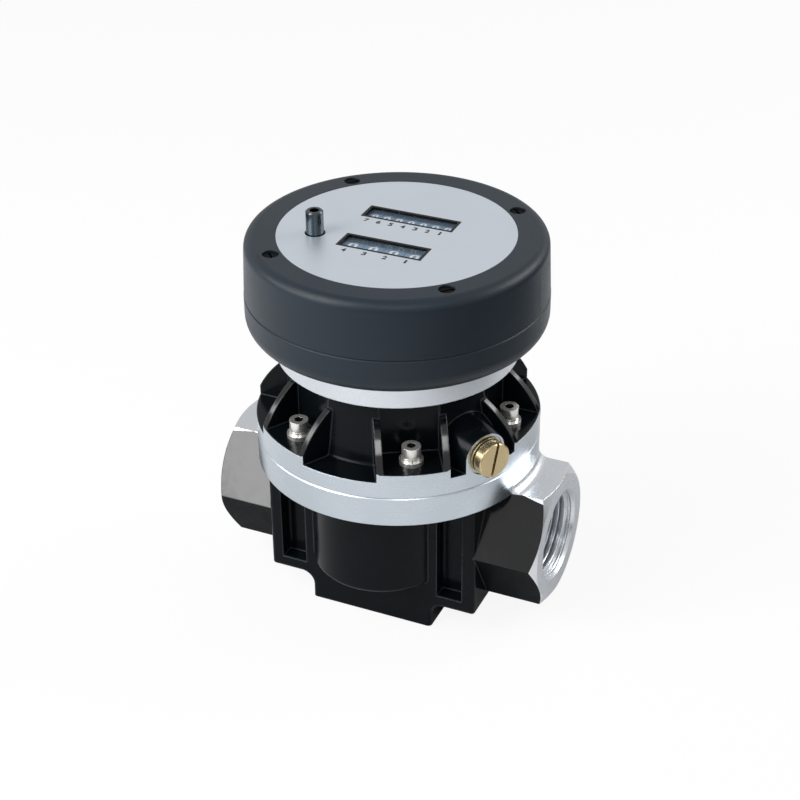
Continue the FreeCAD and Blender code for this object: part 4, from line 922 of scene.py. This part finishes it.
@dataclass
class Counter(SubAssembly):
    """One row of number wheels with its digits, and the place numbers that stand in front of its window.

    Attributes:
        name: name of the counter, which its window's frame bears too.
        wheels: node of each wheel, from the units on, and the body that it turns with.
        digit: width, height and thickness of a digit on a wheel, in mm.
        mark: width, height and thickness of a place number on the dial, in mm.
        mark_gap: from the window's frame to the place numbers, in mm.
        mark_sunk: how deep the place numbers' ink lies in the sheet, in mm.
        slices: cuts across a digit, which let it bend round the wheel.
        stamp: what draws the digits.
    """

    name: str
    wheels: dict[str, str]
    digit: tuple[float, float, float] = (2.5, 3.9, 0.05)
    mark: tuple[float, float, float] = (1.7, 2.5, 0.05)
    mark_gap: float = 1.3
    mark_sunk: float = 0.02
    slices: int = 9
    stamp: DigitStamp = DigitStamp()

    def wheel_digits(self, node: str, body: str) -> bpy.types.Object:
        """Bends ten digits round one wheel.

        A point of a flat digit keeps its place along the wheel, its height becomes an angle at the rim, and
        each next digit lies a tenth of a turn further on. The nought is on top.

        Args:
            node: the wheel's node.
            body: the body that the wheel belongs to.

        Returns:
            The piece, riding on that body.
        """
        low, high = (np.array(corner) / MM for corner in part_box(node))
        middle = (low + high) / 2
        rim = (high[2] - low[2]) / 2
        parts = []
        for number in range(WHEEL_DIGITS):
            flat, faces = self.stamp.solid(number, self.digit, self.slices)
            angle = flat[:, 1] / rim + number * math.tau / WHEEL_DIGITS
            radius = rim + flat[:, 2]
            ring = np.stack([flat[:, 0], radius * np.sin(angle), radius * np.cos(angle)], axis=-1)
            parts.append((middle + ring, faces))
        piece = solid_piece(f"{node}_digits", parts)
        paint(piece, WHITE_INK)
        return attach(piece, body)

    def place_numbers(self) -> bpy.types.Object:
        """Prints the number of each place on the dial, in front of the window and in line with its wheel.

        Returns:
            The piece, riding on the housing.
        """
        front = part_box(f"{self.name}_window_frame")[0][1] / MM - self.mark_gap - self.mark[1] / 2
        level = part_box("dial_plate")[1][2] / MM + self.mark[2] / 2 - self.mark_sunk
        parts = []
        for number, node in enumerate(self.wheels, 1):
            low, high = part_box(node)
            flat, faces = self.stamp.solid(number, self.mark)
            parts.append((flat + ((low[0] + high[0]) / 2 / MM, front, level), faces))
        piece = solid_piece(f"{self.name}_place_numbers", parts)
        paint(piece, BLACK_INK)
        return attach(piece, "housing")

    def build(self) -> list[bpy.types.Object]:
        """Makes the digits of all wheels and the place numbers."""
        return [self.wheel_digits(node, body) for node, body in self.wheels.items()] + [self.place_numbers()]


@dataclass
class PushRod(SubAssembly):
    """The push rod with its guide, and a round wire spring.

    Attributes:
        joint: the joint that the rod slides on; not used.
        wire: diameter of the spring's wire, in mm.
        turns: number of coils.
        dead: share of the turns at each end that lie flat.
        along: points along one coil.
        around: points around the wire.
    """

    joint: str = "reset_press"
    wire: float = 0.8
    turns: float = 5.0
    dead: float = 0.13
    along: int = 36
    around: int = 10

    def coil(self, low: np.ndarray, high: np.ndarray) -> Solid:
        """Winds the wire in a box, about the box's upright middle.

        At angle a along the coil and angle p around the wire, a point lies the coil's radius plus half the
        wire times cos p from the axis, at the coil's height plus half the wire times sin p. The height stays
        level over the dead turns at both ends. Two flat caps close the wire.

        Args:
            low: lowest corner of the box, in mm.
            high: highest corner of the box, in mm.

        Returns:
            The wire.
        """
        middle = (low + high) / 2
        half = self.wire / 2
        count = int(self.turns * self.along) + 1
        share = np.linspace(0, 1, count)[:, None]
        angle = share * self.turns * math.tau
        lift = np.clip((share - self.dead) / (1 - 2 * self.dead), 0, 1)
        height = low[2] + half + lift * (high[2] - low[2] - self.wire)
        turn = np.linspace(0, math.tau, self.around, endpoint=False)[None, :]
        reach = (high[0] - low[0]) / 2 - half + half * np.cos(turn)
        points = np.stack([
            middle[0] + reach * np.cos(angle),
            middle[1] + reach * np.sin(angle),
            height + half * np.sin(turn)], axis=-1)
        index = np.arange(count * self.around).reshape(count, self.around)
        right = np.roll(index, -1, axis=1)
        sides = np.stack([index[:-1], index[1:], right[1:], right[:-1]], axis=-1)
        caps = [index[0].tolist(), index[-1][::-1].tolist()]
        return points.reshape(-1, 3), sides.reshape(-1, 4).tolist() + caps

    def build(self) -> list[bpy.types.Object]:
        """Coils the spring in the box of the plain one that it stands for.

        Returns:
            The spring.
        """
        low, high = (np.array(corner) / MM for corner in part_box("reset_spring"))
        spring = solid_piece("return_spring", [self.coil(low, high)])
        spring.data.shade_smooth()
        paint(spring, ZINC)
        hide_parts("reset_spring")
        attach(spring, "housing")
        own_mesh(spring)
        return [spring]


def toward(azimuth: float, elevation: float) -> Vector:
    """Gives the direction from the meter to a lamp or to the camera.

    Args:
        azimuth: degrees round the meter, 0 in front and 90 on the right.
        elevation: degrees over the horizon.

    Returns:
        The direction, one long.
    """
    turn, rise = math.radians(azimuth), math.radians(elevation)
    return Vector((math.sin(turn) * math.cos(rise), -math.cos(turn) * math.cos(rise), math.sin(rise)))


@dataclass(frozen=True)
class SoftBox:
    """One soft lamp that faces the meter.

    Attributes:
        name: name of the lamp.
        azimuth: degrees round the meter, 0 in front and 90 on the right.
        elevation: degrees over the horizon.
        width: metres across.
        height: metres from its lower to its upper edge.
        radiance: brightness of its face, which times pi and its area gives its power.
        distance: metres from the meter.
    """

    name: str
    azimuth: float
    elevation: float
    width: float
    height: float
    radiance: float
    distance: float = 1.2

    def build(self, target: Vector) -> None:
        """Makes the lamp and turns it to the target.

        Args:
            target: place that it faces, in metres.
        """
        lamp = bpy.data.lights.new(self.name, "AREA")
        lamp.shape = "RECTANGLE"
        lamp.size = self.width
        lamp.size_y = self.height
        lamp.energy = self.radiance * math.pi * self.width * self.height
        away = toward(self.azimuth, self.elevation)
        stand = bpy.data.objects.new(self.name, lamp)
        stand.location = target + away * self.distance
        stand.rotation_euler = away.to_track_quat("Z", "Y").to_euler()
        stand.visible_camera = False
        bpy.context.scene.collection.objects.link(stand)


@dataclass
class Studio:
    """Pale floor, white surroundings, soft lamps and the photograph's camera.

    Attributes:
        lamps: the soft lamps.
        world_level: brightness of the surroundings for plain diffuse light.
        mirror_level: brightness of the surroundings where they are mirrored.
        floor_reach: half the floor's width, in metres.
        floor_drop: how far the floor lies under the foot, in metres.
        azimuth: camera's degrees round the meter.
        elevation: camera's degrees over the horizon.
        roll: camera's turn about its own axis, in radians.
        distance: metres from the camera to the place that it looks at.
        aim: place that the camera looks at, as metres right and up in the picture from the seam's middle.
        focal_px: focal length in pixels of the picture.
        picture_px: width of the picture in pixels.
        sensor_mm: width of the camera's sensor.
    """

    lamps: tuple[SoftBox, ...] = (
        SoftBox("left_soft_box", azimuth=-38.5, elevation=37.0, width=0.62, height=0.92, radiance=8.0),
        SoftBox("far_left_soft_box", azimuth=-69.0, elevation=21.0, width=0.40, height=0.32, radiance=6.0),
        SoftBox("right_soft_box", azimuth=130.0, elevation=31.0, width=0.75, height=0.50, radiance=5.8),
        SoftBox("camera_side_soft_box", azimuth=30.0, elevation=45.0, width=0.30, height=0.30, radiance=8.0),
    )
    world_level: float = 0.33
    mirror_level: float = 0.75
    floor_reach: float = 4.0
    floor_drop: float = 0.0001
    azimuth: float = 24.33
    elevation: float = 31.19
    roll: float = -0.01
    distance: float = 0.70347
    aim: tuple[float, float] = (0.00058, 0.00771)
    focal_px: float = 1836.35
    picture_px: float = 800.0
    sensor_mm: float = 36.0

    def surroundings(self) -> None:
        """Makes the world white where seen, a little less where mirrored, and a soft light elsewhere."""
        world = bpy.data.worlds.new("white_surroundings")
        bpy.context.scene.world = world
        tree = fresh_tree(world)
        ray = add(tree, "ShaderNodeLightPath").outputs
        seen = add(tree, "ShaderNodeMath", {
            0: ray["Is Camera Ray"], 1: ray["Is Transmission Ray"]}, operation="MAXIMUM")
        unseen = add(tree, "ShaderNodeMix", {
            "Factor": ray["Is Glossy Ray"], "A": self.world_level, "B": self.mirror_level})
        level = add(tree, "ShaderNodeMix", {
            "Factor": seen.outputs[0], "A": unseen.outputs["Result"], "B": 1.0})
        light = add(tree, "ShaderNodeBackground", {"Color": WHITE, "Strength": level.outputs["Result"]})
        add(tree, "ShaderNodeOutputWorld", {"Surface": light.outputs[0]})

    def floor(self) -> None:
        """Lays the floor, a square just under the foot."""
        corners = np.array([(-1, -1), (1, -1), (1, 1), (-1, 1)]) * self.floor_reach
        points = np.column_stack([corners, np.full(len(corners), -self.floor_drop)])
        floor = new_piece("studio_floor", points, [[0, 1, 2, 3]])
        paint(floor, PALE_FLOOR)

    def camera(self) -> None:
        """Puts the camera at the photograph's angle.

        Its back axis comes from azimuth and elevation, its right and up axes are square to that and turned
        by the roll, and its lens is the focal length in pixels carried over to the sensor's width.
        """
        back = toward(self.azimuth, self.elevation)
        turn = math.radians(self.azimuth)
        right = Vector((math.cos(turn), math.sin(turn), 0))
        up = back.cross(right)
        target = Vector((0, 0, SEAM * MM)) + right * self.aim[0] + up * self.aim[1]
        cosine, sine = math.cos(self.roll), math.sin(self.roll)
        level = right * cosine + up * sine
        upright = up * cosine - right * sine
        data = bpy.data.cameras.new("photo_camera")
        data.sensor_width = self.sensor_mm
        data.lens = self.focal_px / self.picture_px * self.sensor_mm
        eye = bpy.data.objects.new("photo_camera", data)
        axes = Matrix((level, upright, back)).transposed().to_4x4()
        eye.matrix_world = Matrix.Translation(target + back * self.distance) @ axes
        bpy.context.scene.collection.objects.link(eye)
        bpy.context.scene.camera = eye

    def build(self) -> None:
        """Sets up surroundings, floor, lamps and camera."""
        bpy.context.scene.view_settings.view_transform = "Standard"
        self.surroundings()
        self.floor()
        for lamp in self.lamps:
            lamp.build(Vector((0, 0, SEAM * MM)))
        self.camera()


def wheel_bodies(counter: str) -> dict[str, str]:
    """Names the nodes of a counter's wheels, from the units on, and the body that each turns with.

    Args:
        counter: name of the counter.

    Returns:
        Node to body.
    """
    wheels = sum(node.startswith(f"{counter}_wheel_") for node in frame["nodes"])
    higher = {f"{counter}_wheel_{place}": f"{counter}_place_{place}" for place in range(2, wheels + 1)}
    return {f"{counter}_wheel_1": f"{counter}_units", **higher}


def assemblies() -> list[SubAssembly]:
    """Lists the meter's sub-assemblies: castings, fittings, rotors, register, train, counters and push rod.

    Returns:
        The sub-assemblies, in the order in which they go together.
    """
    total = wheel_bodies("total")
    reset = wheel_bodies("reset")
    return [
        Castings({"meter_body": ENAMEL, "meter_cover": ENAMEL}),
        CoverFittings({
            "cover_seal": RUBBER, "cover_screws": STAINLESS, "plain_washers": STAINLESS,
            "spring_washers": STAINLESS, "vent_plug": BRASS, "vent_plug_washer": BRASS,
            "vent_plug_seal": RUBBER}),
        SubAssembly({
            "rotor_shaft_a": STAINLESS, "rotor_shaft_b": STAINLESS, "oval_gear_a": ROTOR,
            "oval_gear_b": ROTOR, "rotor_bush_a": BRONZE, "rotor_bush_b": BRONZE, "drive_magnets": MAGNET,
            "follower_magnets": MAGNET, "follower_disc": ACETAL, "drive_spindle": ZINC,
            "spindle_bush": BRONZE}),
        SubAssembly({
            "register_base": MOULDED, "register_bezel": MOULDED, "base_screws": ZINC,
            "bezel_screws": BLACK_OXIDE_AND_RECESS_SHADE, "dial_plate": DIAL_SHEET, "total_window": ACRYLIC,
            "reset_window": ACRYLIC, "total_window_frame": FRAME_BLACK, "reset_window_frame": FRAME_BLACK}),
        SubAssembly({
            "counter_frame": ZINC, "frame_screws": ZINC, "total_spindle": ZINC, "reset_spindle": ZINC,
            "total_gear": ACETAL, "reset_gear": ACETAL, "cross_gear": ACETAL, "idler_gear": ACETAL,
            "idler_pin": ZINC, "cross_shaft": ZINC, "worm_wheel": ACETAL}),
        Counter(dict.fromkeys(total, SLATE), "total", total),
        Counter(dict.fromkeys(reset, SLATE), "reset", reset, digit=(3.4, 4.4, 0.05)),
        PushRod({"reset_button": BLACK_NICKEL, "reset_guide": ACETAL, "reset_spring": ZINC}),
    ]


def main() -> None:
    """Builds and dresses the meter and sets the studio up."""
    logging.basicConfig(level=logging.INFO, format="%(name)s: %(message)s")
    for group in assemblies():
        group.dress()
        log.info("dressed %s", ", ".join(group.finishes))
        for piece in group.build():
            log.info("built %s", piece.name)
    for port in PORTS:
        thread = PipeThread(port["name"].replace("port", "port_thread"), port).build()
        log.info("built %s", thread.name)
    Studio().build()


if __name__ == "__main__":
    main()
